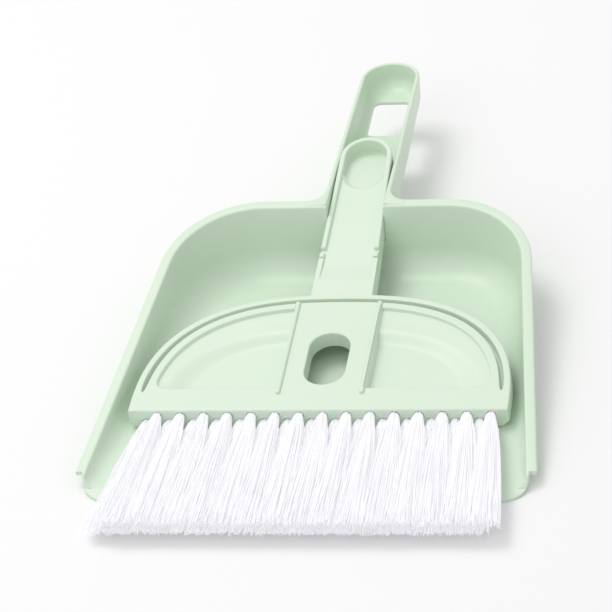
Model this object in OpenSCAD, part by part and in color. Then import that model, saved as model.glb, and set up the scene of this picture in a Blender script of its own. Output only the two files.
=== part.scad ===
// Dustpan and hand brush, nested for storage.
// The pan lies flat on its sole, handle toward +Y, lip toward -Y.
// The brush lies in the tray with its handle in the pan handle's channel.

/* [Pan tray] */
// Half width of the sole at the rim's front end
sole_half_w = 108.5; // [100:0.5:115]
// Half width of the sole at the rear corners
sole_rear_half_w = 87.5; // [80:0.5:95]
// Distance from the rim's front end back to the rear edge of the sole
sole_len = 178; // [165:0.5:185]
// Radius of the sole's rear corners
corner_r = 40.5; // [32:0.5:42]
// How far the lip reaches in front of the rim
lip_len = 11.5; // [8:0.5:14]
// Radius of the lip's corners
lip_corner_r = 14; // [8:0.5:16]
// Height of the rim at its front end
rim_front_h = 7.5; // [6:0.5:10]
// Height of the rim at the rear
rim_rear_h = 39.5; // [37:0.5:42]
// Width of the flange around the rim
flange_w = 3; // [3:0.5:6]
// Lean of the tray walls from upright
wall_lean = 9; // [6:0.5:12]
// Inside radius between floor and walls
floor_fillet_r = 16; // [10:0.5:18]
// Wall thickness of the pan
pan_wall = 2.2; // [1.8:0.1:3]

/* [Pan handle] */
// Distance from the rim's front end to the end of the handle
pan_handle_end = 319; // [300:1:340]
// Half width where the handle leaves the tray
pan_handle_root_half_w = 17.2; // [17:0.1:20]
// Half width and end radius at the far end
pan_handle_end_r = 15.8; // [15.5:0.1:18]
// Height of the channel's floor at the tray
channel_root_h = 18.4; // [18:0.2:20]
// Height of the channel's floor at the far end
channel_end_h = 26.2; // [22:0.2:27]
// Width of the hanging hole
hang_hole_w = 19.4; // [12:0.2:22]
// Length of the hanging hole
hang_hole_l = 30; // [20:1:34]
// Distance from the hole's middle to the end of the handle
hang_hole_setback = 32.5; // [31:0.5:40]

/* [Brush head] */
// Half width of the head
head_half_w = 94; // [85:0.5:96]
// Depth of the head from its front edge to the top of its arch
head_depth = 85.5; // [75:0.5:90]
// Roundness of the arch, 2 is an ellipse and more is squarer
arch_power = 2.6; // [2:0.1:4]
// Thickness of the tuft block along the front edge
block_h = 11.5; // [11:0.1:13]
// Depth of the tuft block
block_depth = 18; // [16:0.5:20]
// Thickness of the head behind the tuft block
head_h = 9; // [8.5:0.1:11]
// Width of the two raised lines around the arch
ridge_w = 2.4; // [1.6:0.1:3]
// Width of the groove between the two raised lines
groove_w = 3.2; // [2:0.1:4]
// Depth of that groove
groove_depth = 4.5; // [2:0.1:6]
// Depth of the two pockets
pocket_depth = 5.6; // [3:0.1:6]
// Half width of the raised centre strip between the pockets
strip_half_w = 22; // [18:0.5:26]
// Width of the oval hanging hole in the centre strip
oval_w = 20.4; // [14:0.2:26]
// Length of the oval hanging hole
oval_l = 37.6; // [28:0.2:40]
// Distance from the front edge to the middle of the oval hole
oval_mid = 37.5; // [37:0.5:42]
// Tilt of the head as it rests in the tray
head_tilt = 5.5; // [4:0.5:7]
// Distance from the rim's front end back to the head's front edge
head_setback = 43; // [40:1:50]

/* [Brush handle] */
// Length of the handle from the arch to its tip
brush_handle_len = 111; // [95:1:115]
// Half width of the handle at the head
brush_handle_root_half_w = 15.9; // [13:0.1:16]
// Half width and tip radius of the handle
brush_handle_tip_r = 13.4; // [12:0.1:14]
// Height of the handle's side walls
brush_handle_h = 12.5; // [11:0.1:13]
// Thickness of the side walls and the web
brush_wall = 2.6; // [2:0.1:3]
// How far the side ribs stand above the web
rib_rise = 2; // [1:0.1:3]
// Tilt of the handle as it rests in the channel
handle_tilt = 12; // [10.5:0.5:12.5]
// Length of the thumb scoop
scoop_len = 33; // [24:1:40]
// Depth of the thumb scoop at the tip
scoop_depth = 8.4; // [5:0.1:9]

/* [Bristles] */
// Tufts in each of the two rows
tufts_per_row = 15; // [15:1:15]
// Spacing of the tufts
tuft_pitch = 11.8; // [11:0.1:12]
// Diameter of a tuft where it leaves the block
tuft_root_d = 4.8; // [4:0.1:4.8]
// Diameter of a tuft at its tip
tuft_tip_d = 7; // [5:0.1:7.2]
// Free length of the bristles
bristle_len = 88; // [60:1:95]
// Depth of the holes the tufts are set in
tuft_hole_depth = 12; // [8:0.5:13]
// Height of the lower row's centre line above the floor
lower_row_h = 6.1; // [6:0.1:6.4]
// Height of the upper row above the lower row
row_rise = 4.3; // [4.2:0.1:4.6]
// How much the bristles spread sideways toward the tips
fan = 0.06; // [0:0.01:0.1]

/* [Hidden] */
$fn = 64;
ROW_NAMES = ["lower", "upper"];
mint = [0.84, 0.93, 0.84];
bristle_white = [0.97, 0.96, 0.99];
steel = [0.72, 0.74, 0.76];
far = 400;

// Pan: the rim lies in one plane that climbs from the front to the rear.
lean = tan(wall_lean);
rim_rear_y = sole_len + rim_rear_h * lean + flange_w;
rim_angle = atan((rim_rear_h - rim_front_h) / rim_rear_y);
front_fillet_r = floor_fillet_r * 0.3;
front_y = -lip_len - 10;
taper = (sole_half_w - sole_rear_half_w) / (sole_len - corner_r);
form_top = rim_rear_h + 20;
lip_bevel_len = 8;
lip_edge_h = 0.9;
wall_end_run = lip_len - lip_bevel_len;
root_fillet_r = 9;
hang_corner_r = 3.5;

// Brush: it rests on the tray floor with a small gap, so that the two bodies stay apart.
rest_gap = 0.3;
block_top_z = pan_wall + rest_gap + block_h * cos(head_tilt);
block_chamfer = 4;
groove_front = 15;
pocket_inset = 2 * ridge_w + groove_w + 1;
pocket_corner_r = 8;
rib_w = 2.4;
strip_rib_rise = 1;
strip_rib_len = head_depth - ridge_w - rib_w - 7;
strip_skin = 3;
collar_w = 2.4;
rib_gap_y = 29;
rib_gap_len = 3;
rib_nub_len = 3;
rib_low_drop = 0.9;
rib_start_y = 8;
web_z = -rib_rise;
scoop_end_y = brush_handle_len - brush_wall;
scoop_r = brush_handle_tip_r - brush_wall;
scoop_slope = atan((scoop_depth - rib_rise) / scoop_len);

// Tufts: two staggered rows, each tuft folded around a flat steel staple at the foot of its hole.
hole_d = tuft_root_d + 0.2;
// The free bristles leave the hole a little narrower than they are inside it.
tuft_neck_d = tuft_root_d - 0.4;
// Length of the free part that starts inside the root.
tuft_overlap = 1;
lower_row_drop = block_h - (lower_row_h - pan_wall - rest_gap);
row_drop = [lower_row_drop, lower_row_drop - row_rise];
row_shift = [-0.25, 0.25];
row_lift = [0.1, 0.6];
staple_w = 5.8;
staple_t = 0.5;
staple_l = 2.2;
staple_foot = 1;
quarter_turn = 90;
// The origin is under the middle of the whole set, on the surface it rests on.
mid_y = (pan_handle_end + head_setback - bristle_len) / 2;

function tuft_name(row, i) = str("tuft_", ROW_NAMES[row], "_", i < 9 ? "0" : "", i + 1);
function tuft_x(row, i) = (i - (tufts_per_row - 1) / 2 + row_shift[row]) * tuft_pitch;
function row_drop_along(row) = row_drop[row] / cos(head_tilt);

// From the rim's front end to the middle of the set.
module placed() {
    translate([0, -mid_y, 0])
        children();
}

// Half outline of a tray section: floor at z0, fillet r, then the leaning wall whose foot is at foot_x.
function section(foot_x, z0, r) =
    let (cx = foot_x + lean * (z0 + r) - r / cos(wall_lean))
    concat(
        [for (k = [0:8]) let (a = -90 + k * (90 - wall_lean) / 8) [cx + r * cos(a), z0 + r + r * sin(a)]],
        [[foot_x + lean * form_top, form_top]]
    );

// Solid bounded by the tray's walls moved outward by grow, with its floor at z0.
module tray_form(grow, z0, rear_r, front_r) {
    corner = section(corner_r + grow, z0, rear_r);
    side = section(sole_half_w - front_y * taper + grow, z0, front_r);
    hull() {
        for (s = [-1, 1])
            translate([s * (sole_rear_half_w - corner_r), sole_len - corner_r, 0])
                rotate_extrude($fn = 48)
                    polygon(concat([[0, z0]], corner, [[0, form_top]]));
        translate([0, front_y, 0])
            rotate([90, 0, 0])
                linear_extrude(height = 0.1)
                    for (s = [0, 1])
                        mirror([s, 0])
                            polygon(concat([[0, z0]], side, [[0, form_top]]));
    }
}

// Everything below the rim's plane, lowered by drop.
module below_rim(drop) {
    translate([0, 0, rim_front_h - drop])
        rotate([rim_angle, 0, 0])
            translate([-far / 2, -far / 2, -far])
                cube([far, 2 * far, far]);
}

// Plan of the pan with its rounded lip corners, open toward the rear.
module lip_plan() {
    corner_x = sole_half_w + lean * pan_wall - lip_corner_r;
    corner_y = lip_corner_r - lip_len;
    translate([-far / 2, corner_y])
        square([far, far]);
    translate([-corner_x, -lip_len])
        square([2 * corner_x, lip_corner_r + 1]);
    for (s = [-1, 1])
        translate([s * corner_x, corner_y])
            circle(r = lip_corner_r);
}

// Plan of the pan's handle, drawn in by inset.
module pan_handle_plan(inset, start_y) {
    end_y = pan_handle_end - pan_handle_end_r;
    half_w = pan_handle_root_half_w - inset;
    end_r = pan_handle_end_r - inset;
    polygon([[-half_w, start_y], [half_w, start_y], [end_r, end_y], [-end_r, end_y]]);
    translate([0, end_y])
        circle(r = end_r);
}

// Everything above the channel's sloping floor, lowered by drop.
module above_channel_floor(drop) {
    run = pan_handle_end - rim_rear_y;
    slope = atan((channel_end_h - channel_root_h) / run);
    translate([0, rim_rear_y, channel_root_h - drop])
        rotate([slope, 0, 0])
            translate([-far / 2, -far / 2, 0])
                cube([far, far, far]);
}

module pan_handle() {
    start_y = rim_rear_y - flange_w - 4;
    intersection() {
        linear_extrude(height = rim_rear_h)
            pan_handle_plan(0, start_y);
        above_channel_floor(pan_wall);
        union() {
            below_rim(0);
            translate([-far / 2, rim_rear_y, 0])
                cube([far, far, far]);
        }
    }
    // Fillets where the rear flange turns into the handle's edges.
    for (s = [-1, 1])
        translate([s * (pan_handle_root_half_w - 1), rim_rear_y - 1, rim_rear_h - pan_wall])
            linear_extrude(height = pan_wall)
                mirror([s < 0 ? 1 : 0, 0])
                    difference() {
                        square(root_fillet_r + 1);
                        translate([root_fillet_r + 1, root_fillet_r + 1])
                            circle(r = root_fillet_r);
                    }
}

module rim_flange() {
    intersection() {
        tray_form(flange_w, 0, floor_fillet_r, front_fillet_r);
        difference() {
            below_rim(0);
            below_rim(pan_wall);
        }
        translate([-far / 2, 0, 0])
            cube([far, far, far]);
    }
}

module dustpan() {
    wall_x = pan_wall / cos(wall_lean);
    hang_y = pan_handle_end - hang_hole_setback;
    color(mint)
    placed()
    difference() {
        union() {
            intersection() {
                tray_form(0, 0, floor_fillet_r + pan_wall, front_fillet_r + pan_wall);
                below_rim(0);
                linear_extrude(height = form_top)
                    lip_plan();
            }
            rim_flange();
            pan_handle();
        }
        // Inside of the tray.
        tray_form(-wall_x, pan_wall, floor_fillet_r, front_fillet_r);
        // The side walls end in a slope that runs down from the rim to the floor.
        translate([-far / 2, 0, 0])
            rotate([quarter_turn, 0, quarter_turn])
                linear_extrude(height = far)
                    polygon([
                        [0, rim_front_h], [0, form_top], [front_y, form_top],
                        [front_y, pan_wall], [-wall_end_run, pan_wall]
                    ]);
        // Bevel along the lip.
        translate([-far / 2, -lip_len, lip_edge_h])
            rotate([atan((pan_wall - lip_edge_h) / lip_bevel_len), 0, 0])
                translate([0, -lip_len, 0])
                    cube([far, lip_len + lip_bevel_len, far / 10]);
        // Channel for the brush handle, open at the top and into the tray.
        intersection() {
            linear_extrude(height = form_top)
                pan_handle_plan(pan_wall, rim_rear_y - 30);
            above_channel_floor(0);
        }
        // Hanging hole.
        translate([0, hang_y, 0])
            linear_extrude(height = form_top)
                rounded_rect(hang_hole_w, hang_hole_l, hang_corner_r);
    }
}

module rounded_rect(w, l, r) {
    square([w - 2 * r, l], center = true);
    square([w, l - 2 * r], center = true);
    for (sx = [-1, 1])
        for (sy = [-1, 1])
            translate([sx * (w / 2 - r), sy * (l / 2 - r)])
                circle(r = r);
}

module slot(w, l) {
    square([w, l - w], center = true);
    for (s = [-1, 1])
        translate([0, s * (l - w) / 2])
            circle(d = w);
}

// Frame of the head: x across, y back from the front edge, z up from its top face.
module head_frame() {
    translate([0, head_setback, block_top_z])
        rotate([head_tilt, 0, 0])
            children();
}

// Frame of the brush handle: y from the top of the arch to the tip, z up from the ribs' tops.
module handle_frame() {
    head_frame()
        translate([0, head_depth, 0])
            rotate([handle_tilt - head_tilt, 0, 0])
                children();
}

// Outline of the head, a superellipse on a straight front edge, drawn in by inset.
module arch(inset) {
    a = head_half_w - inset;
    b = head_depth - inset;
    polygon([for (k = [0:48])
        let (t = 180 * k / 48, c = cos(t), s = sin(t))
        [a * sign(c) * pow(abs(c), 2 / arch_power), b * pow(abs(s), 2 / arch_power)]]);
}

module pocket_plan(side) {
    inner_w = head_half_w - pocket_inset - strip_half_w;
    intersection() {
        arch(pocket_inset);
        translate([side * (strip_half_w + inner_w / 2), block_depth + head_depth / 2])
            rounded_rect(inner_w, head_depth, pocket_corner_r);
    }
    // The corners beside the centre strip are square.
    translate([side > 0 ? strip_half_w : -strip_half_w - pocket_corner_r, block_depth])
        square([pocket_corner_r, head_depth - block_depth - pocket_inset - 1]);
}

module brush_handle_plan(inset, start_y) {
    end_y = brush_handle_len - brush_handle_tip_r;
    half_w = brush_handle_root_half_w - inset;
    tip_r = brush_handle_tip_r - inset;
    polygon([[-half_w, start_y], [half_w, start_y], [tip_r, end_y], [-tip_r, end_y]]);
    translate([0, end_y])
        circle(r = tip_r);
}

// Everything above the thumb scoop's sloping floor, lowered by drop.
module above_scoop_floor(drop) {
    translate([-far / 2, scoop_end_y, -scoop_depth - drop])
        rotate([-scoop_slope, 0, 0])
            translate([0, -far / 2, 0])
                cube([far, far, far]);
}

module head_blank() {
    translate([0, 0, -head_h])
        linear_extrude(height = head_h)
            arch(0);
    translate([0, 0, -block_h])
        linear_extrude(height = block_h)
            intersection() {
                arch(0);
                translate([-far / 2, 0])
                    square([far, block_depth]);
            }
    // Ribs along both edges of the centre strip.
    for (s = [-1, 1])
        translate([s * (strip_half_w - rib_w / 2) - rib_w / 2, head_depth - ridge_w - strip_rib_len, -1])
            cube([rib_w, strip_rib_len, 1 + strip_rib_rise]);
}

module head_cuts() {
    // Groove between the two raised lines around the arch.
    translate([0, 0, -groove_depth])
        linear_extrude(height = groove_depth + 1)
            intersection() {
                difference() {
                    arch(ridge_w);
                    arch(ridge_w + groove_w);
                }
                translate([-far / 2, groove_front])
                    square([far, far]);
            }
    // Pockets on both sides of the centre strip.
    for (s = [-1, 1])
        translate([0, 0, -pocket_depth])
            linear_extrude(height = pocket_depth + 1)
                pocket_plan(s);
    // Oval hanging hole.
    translate([0, oval_mid, -head_h - 1])
        linear_extrude(height = head_h + 2)
            slot(oval_w, oval_l);
    // Hollow under the centre strip, around the collar of the oval hole.
    translate([0, 0, -head_h - 1])
        linear_extrude(height = head_h + 1 - strip_skin)
            difference() {
                translate([-strip_half_w + collar_w, block_depth])
                    square([2 * (strip_half_w - collar_w), head_depth - block_depth - pocket_inset - 4]);
                translate([0, oval_mid])
                    slot(oval_w + 2 * collar_w, oval_l + 2 * collar_w);
            }
    // Lower corners of the block, which stay clear of the tray's side fillets.
    for (s = [0, 1])
        mirror([s, 0, 0])
            translate([head_half_w, block_depth + 1, -block_h])
                rotate([quarter_turn, 0, 0])
                    linear_extrude(height = block_depth + 2)
                        polygon([
                            [-block_chamfer, 0], [-block_chamfer, -1], [1, -1],
                            [1, block_chamfer], [0, block_chamfer]
                        ]);
    tuft_holes();
}

module tuft_holes() {
    for (row = [0, 1])
        for (i = [0:tufts_per_row - 1])
            translate([tuft_x(row, i), 0, -row_drop_along(row)]) {
                translate([0, -1, 0])
                    rotate([-quarter_turn, 0, 0])
                        cylinder(d = hole_d, h = tuft_hole_depth + 1);
                staple();
            }
}

module brush_handle_blank() {
    translate([0, 0, -brush_handle_h])
        linear_extrude(height = brush_handle_h)
            brush_handle_plan(0, -ridge_w);
}

module brush_handle_cuts() {
    half_w = brush_handle_root_half_w + 1;
    // Face of the web, between the ribs.
    translate([0, 0, web_z])
        linear_extrude(height = rib_rise + 1)
            brush_handle_plan(brush_wall, rib_start_y);
    // Gap across the ribs and the low stretch behind it, which leaves a nub between them.
    translate([-half_w, rib_gap_y, web_z])
        cube([2 * half_w, rib_gap_len, rib_rise + 1]);
    translate([-half_w, rib_start_y, -rib_low_drop])
        cube([2 * half_w, rib_gap_y - rib_nub_len - rib_start_y, rib_rise]);
    // Thumb scoop.
    intersection() {
        translate([0, scoop_end_y - (scoop_len + scoop_r) / 2, -brush_handle_h])
            linear_extrude(height = brush_handle_h + 1)
                slot(2 * scoop_r, scoop_len + scoop_r);
        above_scoop_floor(0);
    }
    // Underside, open below the web and the scoop.
    difference() {
        translate([0, 0, -brush_handle_h - 1])
            linear_extrude(height = brush_handle_h + 1 - rib_rise - brush_wall)
                brush_handle_plan(brush_wall, rib_start_y);
        above_scoop_floor(brush_wall);
    }
}

module brush_body() {
    color(mint)
    placed()
    union() {
        difference() {
            head_frame()
                head_blank();
            head_frame()
                head_cuts();
        }
        difference() {
            handle_frame()
                brush_handle_blank();
            handle_frame()
                brush_handle_cuts();
        }
    }
}

// Flat wire staple across the foot of a tuft hole, in the hole's own frame.
module staple() {
    translate([-staple_w / 2, tuft_hole_depth - staple_foot - staple_l, -staple_t / 2])
        cube([staple_w, staple_l, staple_t]);
}

module staples(row) {
    color(steel)
    placed()
    head_frame()
        for (i = [0:tufts_per_row - 1])
            translate([tuft_x(row, i), 0, -row_drop_along(row)])
                staple();
}

module staples_lower() {
    staples(0);
}

module staples_upper() {
    staples(1);
}

// One tuft: a straight root in its hole, then bristles that lie flat and spread a little.
module tuft(row, i) {
    x = tuft_x(row, i);
    drop = row_drop_along(row);
    color(bristle_white)
    placed()
    union() {
        head_frame()
            translate([x, 0, -drop])
                difference() {
                    rotate([-quarter_turn, 0, 0])
                        cylinder(d = tuft_root_d, h = tuft_hole_depth);
                    staple();
                }
        translate([x, head_setback + drop * sin(head_tilt), block_top_z - drop * cos(head_tilt)])
            rotate([quarter_turn - atan(row_lift[row] / bristle_len), 0, atan(fan * x / bristle_len)])
                translate([0, 0, -tuft_overlap])
                    cylinder(d1 = tuft_neck_d, d2 = tuft_tip_d, h = bristle_len + tuft_overlap);
    }
}

dustpan();
brush_body();
staples_lower();
staples_upper();
for (row = [0, 1])
    for (i = [0:tufts_per_row - 1])
        tuft(row, i);
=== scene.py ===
"""Looks of a dustpan and brush set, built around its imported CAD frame.

Lengths are in millimetres in the maker's own axes until a mesh is made: x across, y from the front of
the pan's rim toward the handle ends, z up. Shape.to_object turns them into metres in the CAD frame.
"""

from __future__ import annotations

import logging
import math
from dataclasses import dataclass
from enum import Enum
from typing import Callable, Sequence

import bmesh
import bpy
import numpy as np
from mathutils import Matrix, Vector


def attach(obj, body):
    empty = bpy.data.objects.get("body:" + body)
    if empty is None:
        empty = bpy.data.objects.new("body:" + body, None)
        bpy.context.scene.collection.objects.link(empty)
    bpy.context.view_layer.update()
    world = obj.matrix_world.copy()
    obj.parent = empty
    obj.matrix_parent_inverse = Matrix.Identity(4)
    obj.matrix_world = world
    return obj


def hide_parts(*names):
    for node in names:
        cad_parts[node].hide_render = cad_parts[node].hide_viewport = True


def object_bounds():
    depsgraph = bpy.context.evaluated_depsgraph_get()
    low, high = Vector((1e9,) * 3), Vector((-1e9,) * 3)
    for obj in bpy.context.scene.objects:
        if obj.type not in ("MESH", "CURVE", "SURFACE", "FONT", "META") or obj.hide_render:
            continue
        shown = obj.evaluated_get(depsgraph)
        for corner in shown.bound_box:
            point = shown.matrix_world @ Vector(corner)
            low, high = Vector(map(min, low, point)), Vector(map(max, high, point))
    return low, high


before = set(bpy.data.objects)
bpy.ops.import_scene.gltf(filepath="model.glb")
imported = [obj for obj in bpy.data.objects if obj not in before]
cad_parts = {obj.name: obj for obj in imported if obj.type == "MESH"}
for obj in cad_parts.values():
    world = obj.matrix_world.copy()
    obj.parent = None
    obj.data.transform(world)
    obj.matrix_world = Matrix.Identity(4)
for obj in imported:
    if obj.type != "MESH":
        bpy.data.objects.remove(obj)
CAD_BOX = [list(corner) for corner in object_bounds()]

LOG = logging.getLogger("dustpan_set")
MM = 0.001
HANDLE_END_Y = 319.0
MIDDLE_Y = HANDLE_END_Y - CAD_BOX[1][1] / MM
# Half the span of a cutter that goes right across a piece, and the steps of small rounded edges.
REACH = 150.0
EDGE_STEPS = 4
FINE_STEPS = 5

Outline = np.ndarray
Height = Callable[[np.ndarray], np.ndarray]
Level = tuple[float | np.ndarray, Height]
Section = list[tuple[float, float]]
Colour = tuple[float, float, float]
Socket = bpy.types.NodeSocket


class Join(Enum):
    """How one solid is combined with another."""

    ADD = "UNION"
    CUT = "DIFFERENCE"
    KEEP = "INTERSECT"


class Cap(Enum):
    """How the ends of a stack of outlines are closed."""

    FACE = "one face"
    STRIP = "quads from side to side"


# ---------------------------------------------------------------- outlines and closed shapes


def quarter(radius: float, steps: int = EDGE_STEPS) -> Section:
    """Steps of a quarter round.

    Args:
        radius: Its radius.
        steps: How many steps it takes.

    Returns:
        For each point, how far it has moved in and how far it still is from the end.
    """
    angles = [math.pi / 2 * k / steps for k in range(steps + 1)]
    return [(radius * (1 - math.cos(a)), radius * (1 - math.sin(a))) for a in angles]


def smooth_step(low: float, high: float, value: np.ndarray) -> np.ndarray:
    """Goes softly from 0 at low to 1 at high.

    Args:
        low: Where the step starts.
        high: Where it ends; it may be below low.
        value: The places to evaluate.

    Returns:
        The step's height at each place.
    """
    t = np.clip((value - low) / (high - low), 0.0, 1.0)
    return t * t * (3 - 2 * t)


def soft_max(a: np.ndarray, b: np.ndarray, blend: float) -> np.ndarray:
    """The larger of two heights, rounded where they meet."""
    return (a + b + np.sqrt((a - b) ** 2 + blend**2)) / 2


def at(z: float) -> Height:
    """A flat height."""
    return lambda points: np.full(len(points), z)


def inset(outline: Outline, distance: float | np.ndarray) -> Outline:
    """Draws a closed counter-clockwise outline in.

    Args:
        outline: Its points.
        distance: How far each side moves in; negative moves it out.

    Returns:
        The new outline, point for point.
    """
    before = outline - np.roll(outline, 1, axis=0)
    after = np.roll(outline, -1, axis=0) - outline
    sides = [v / np.linalg.norm(v, axis=1, keepdims=True) for v in (before, after)]
    left = [np.stack([-v[:, 1], v[:, 0]], axis=1) for v in sides]
    bisector = (left[0] + left[1]) / (1 + np.sum(left[0] * left[1], axis=1, keepdims=True))
    return outline + bisector * np.reshape(distance, (-1, 1))


def run_of(points: np.ndarray) -> np.ndarray:
    """How far along an open line each of its points is."""
    return np.concatenate([[0.0], np.cumsum(np.linalg.norm(np.diff(points, axis=0), axis=1))])


def sampled(values: np.ndarray, run: np.ndarray, places: np.ndarray | float) -> np.ndarray:
    """The columns of values, known along a run, at other places along it."""
    return np.stack([np.interp(places, run, column) for column in values.T], axis=-1)


def evenly(points: np.ndarray, count: int) -> np.ndarray:
    """Spreads points evenly along an open line.

    Args:
        points: The line as it is.
        count: How many points the new one has.

    Returns:
        The same line with its points an equal distance apart.
    """
    run = run_of(points)
    return sampled(points, run, np.linspace(0.0, run[-1], count))


def upright(x: float, start_y: float, end_y: float, count: int) -> np.ndarray:
    """Points on a line along y, both ends included."""
    return np.stack([np.full(count, x), np.linspace(start_y, end_y, count)], axis=1)


def level_line(y: float, start_x: float, end_x: float, count: int) -> np.ndarray:
    """Points on a line along x, both ends included."""
    return np.stack([np.linspace(start_x, end_x, count), np.full(count, y)], axis=1)


def bend(
    start: Sequence[float], corner: Sequence[float], end: Sequence[float], steps: int = EDGE_STEPS
) -> Section:
    """Rounds a corner.

    Args:
        start: Where the curve leaves the first side.
        corner: The sharp corner.
        end: Where it joins the second side.
        steps: How many steps it takes.

    Returns:
        The curve's points without both ends.
    """
    a, b, c = (np.array(p, float) for p in (start, corner, end))
    ts = [k / steps for k in range(1, steps)]
    return [tuple((1 - t) ** 2 * a + 2 * t * (1 - t) * b + t * t * c) for t in ts]


def arc(cx: float, cy: float, radius: float, start: float, end: float, steps: int) -> np.ndarray:
    """Points on an arc, both ends included; angles are in degrees."""
    angles = np.radians(np.linspace(start, end, steps + 1))
    return np.stack([cx + radius * np.cos(angles), cy + radius * np.sin(angles)], axis=1)


def tongue(root_half_w: float, tip_r: float, start_y: float, end_y: float, side_steps: int = 40) -> Outline:
    """Plan of a long shape with a round tip, from the right of its root round the tip to the left.

    Args:
        root_half_w: Half its width at the root.
        tip_r: Its tip's radius.
        start_y: Where the root is.
        end_y: Where the tip is.
        side_steps: Steps along each side.

    Returns:
        An outline whose points come in left and right pairs around the one at the tip.
    """
    centre_y = end_y - tip_r
    t = np.linspace(0, 1, side_steps, endpoint=False)[:, None]
    root, shoulder = np.array([root_half_w, start_y]), np.array([tip_r, centre_y])
    right = root + (shoulder - root) * t
    return np.concatenate([right, arc(0, centre_y, tip_r, 0, 180, 36), right[::-1] * [-1, 1]])


def rounded_rectangle(w: float, l: float, r: float, mid: tuple[float, float] = (0, 0)) -> Outline:
    """A rectangle with round corners.

    Args:
        w: Its width.
        l: Its length.
        r: The radius of its corners.
        mid: Its middle.

    Returns:
        Its outline, counter-clockwise from the right side.
    """
    x, y = w / 2 - r, l / 2 - r
    corners = [(x, y, 0), (-x, y, 90), (-x, -y, 180), (x, -y, 270)]
    return np.concatenate([arc(mid[0] + u, mid[1] + v, r, turn, turn + 90, 8) for u, v, turn in corners])


def ring_faces(count: int, n: int) -> list[tuple[int, ...]]:
    """Quads between closed rings of points that follow each other.

    Args:
        count: How many rings there are.
        n: How many points each has.

    Returns:
        The faces, with both ends left open.
    """
    return [
        (k * n + i, k * n + (i + 1) % n, (k + 1) * n + (i + 1) % n, (k + 1) * n + i)
        for k in range(count - 1)
        for i in range(n)
    ]


def linked(name: str, data: bpy.types.ID) -> bpy.types.Object:
    """A new object with its data, put in the scene.

    Args:
        name: The object's name.
        data: Its mesh, camera or light.

    Returns:
        The object.
    """
    obj = bpy.data.objects.new(name, data)
    bpy.context.scene.collection.objects.link(obj)
    return obj


@dataclass
class Shape:
    """A closed surface: points in millimetres and faces."""

    points: np.ndarray
    faces: list[tuple[int, ...]]

    def placed(self, matrix: Matrix) -> "Shape":
        """The shape moved by a matrix in millimetres."""
        m = np.array(matrix)
        return Shape(self.points @ m[:3, :3].T + m[:3, 3], self.faces)

    def mirrored(self, side: int = -1) -> "Shape":
        """The shape on the other side of the middle, or as it is where side is 1."""
        return Shape(self.points * [side, 1, 1], self.faces)

    def joined(self, others: Sequence["Shape"]) -> "Shape":
        """This shape and others that it doesn't touch, as one.

        Args:
            others: The other shapes.

        Returns:
            The joined shape.
        """
        points, faces = [self.points], list(self.faces)
        for other in others:
            start = sum(len(p) for p in points)
            faces += [tuple(i + start for i in face) for face in other.faces]
            points.append(other.points)
        return Shape(np.concatenate(points), faces)

    def to_object(self, name: str) -> bpy.types.Object:
        """Makes the mesh in metres in the CAD frame, merged and with its faces outwards.

        Args:
            name: The object's name.

        Returns:
            The new object.
        """
        weld = 0.002 * MM
        mesh = bpy.data.meshes.new(name)
        mesh.from_pydata(((self.points - [0, MIDDLE_Y, 0]) * MM).tolist(), [], self.faces)
        work = bmesh.new()
        work.from_mesh(mesh)
        bmesh.ops.remove_doubles(work, verts=work.verts, dist=weld)
        bmesh.ops.dissolve_degenerate(work, edges=work.edges, dist=weld)
        bmesh.ops.recalc_face_normals(work, faces=work.faces)
        open_edges = sum(not e.is_manifold for e in work.edges)
        if open_edges:
            LOG.warning("%s has %d open edges", name, open_edges)
        work.to_mesh(mesh)
        work.free()
        return linked(name, mesh)


def stack(outline: Outline, levels: Sequence[Level], cap: Cap = Cap.FACE) -> Shape:
    """Stacks copies of an outline into a closed shape.

    Args:
        outline: The plan, counter-clockwise.
        levels: For each copy, how far it is drawn in and its height.
        cap: How both ends are closed.

    Returns:
        The closed shape.
    """
    rings = []
    for distance, height in levels:
        plan = inset(outline, distance)
        rings.append(np.column_stack([plan, height(plan)]))
    count, n = len(rings), len(outline)
    half = n // 2
    faces = ring_faces(count, n)
    for start in (0, (count - 1) * n):
        if cap is Cap.FACE:
            faces.append(tuple(range(start, start + n)))
            continue
        end = start + n - 1
        faces += [(start + i, start + i + 1, end - 1 - i, end - i) for i in range(half - 1)]
        faces.append((start + half - 1, start + half, start + half + 1))
    return Shape(np.concatenate(rings), faces)


def crossed(shape: Shape, count: int, height: Height, across: int) -> Shape:
    """Gives the last cap of a stack closed with Cap.STRIP points between its sides.

    Args:
        shape: The stack.
        count: Points in its outline; an odd number, in left and right pairs.
        height: The cap's height.
        across: Steps from side to side.

    Returns:
        The shape with the new cap.
    """
    half = count // 2
    start = len(shape.points) - count
    ring = shape.points[start:]
    rows, points = [], [shape.points]
    used = len(shape.points)
    for i in range(half):
        share = np.linspace(0, 1, across + 1)[1:-1, None]
        row = ring[i] + (ring[count - 1 - i] - ring[i]) * share
        row[:, 2] = height(row[:, :2])
        points.append(row)
        rows.append([start + i, *range(used, used + len(row)), start + count - 1 - i])
        used += len(row)
    faces = shape.faces[:-half]
    end = (start - 1, start - count, start, start + count - 1)
    faces[faces.index(end)] = (start - 1, start - count, *rows[0])
    for near, far in zip(rows, rows[1:]):
        faces += [(near[k], far[k], far[k + 1], near[k + 1]) for k in range(across)]
    faces += [(rows[-1][k], start + half, rows[-1][k + 1]) for k in range(across)]
    return Shape(np.concatenate(points), faces)


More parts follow.
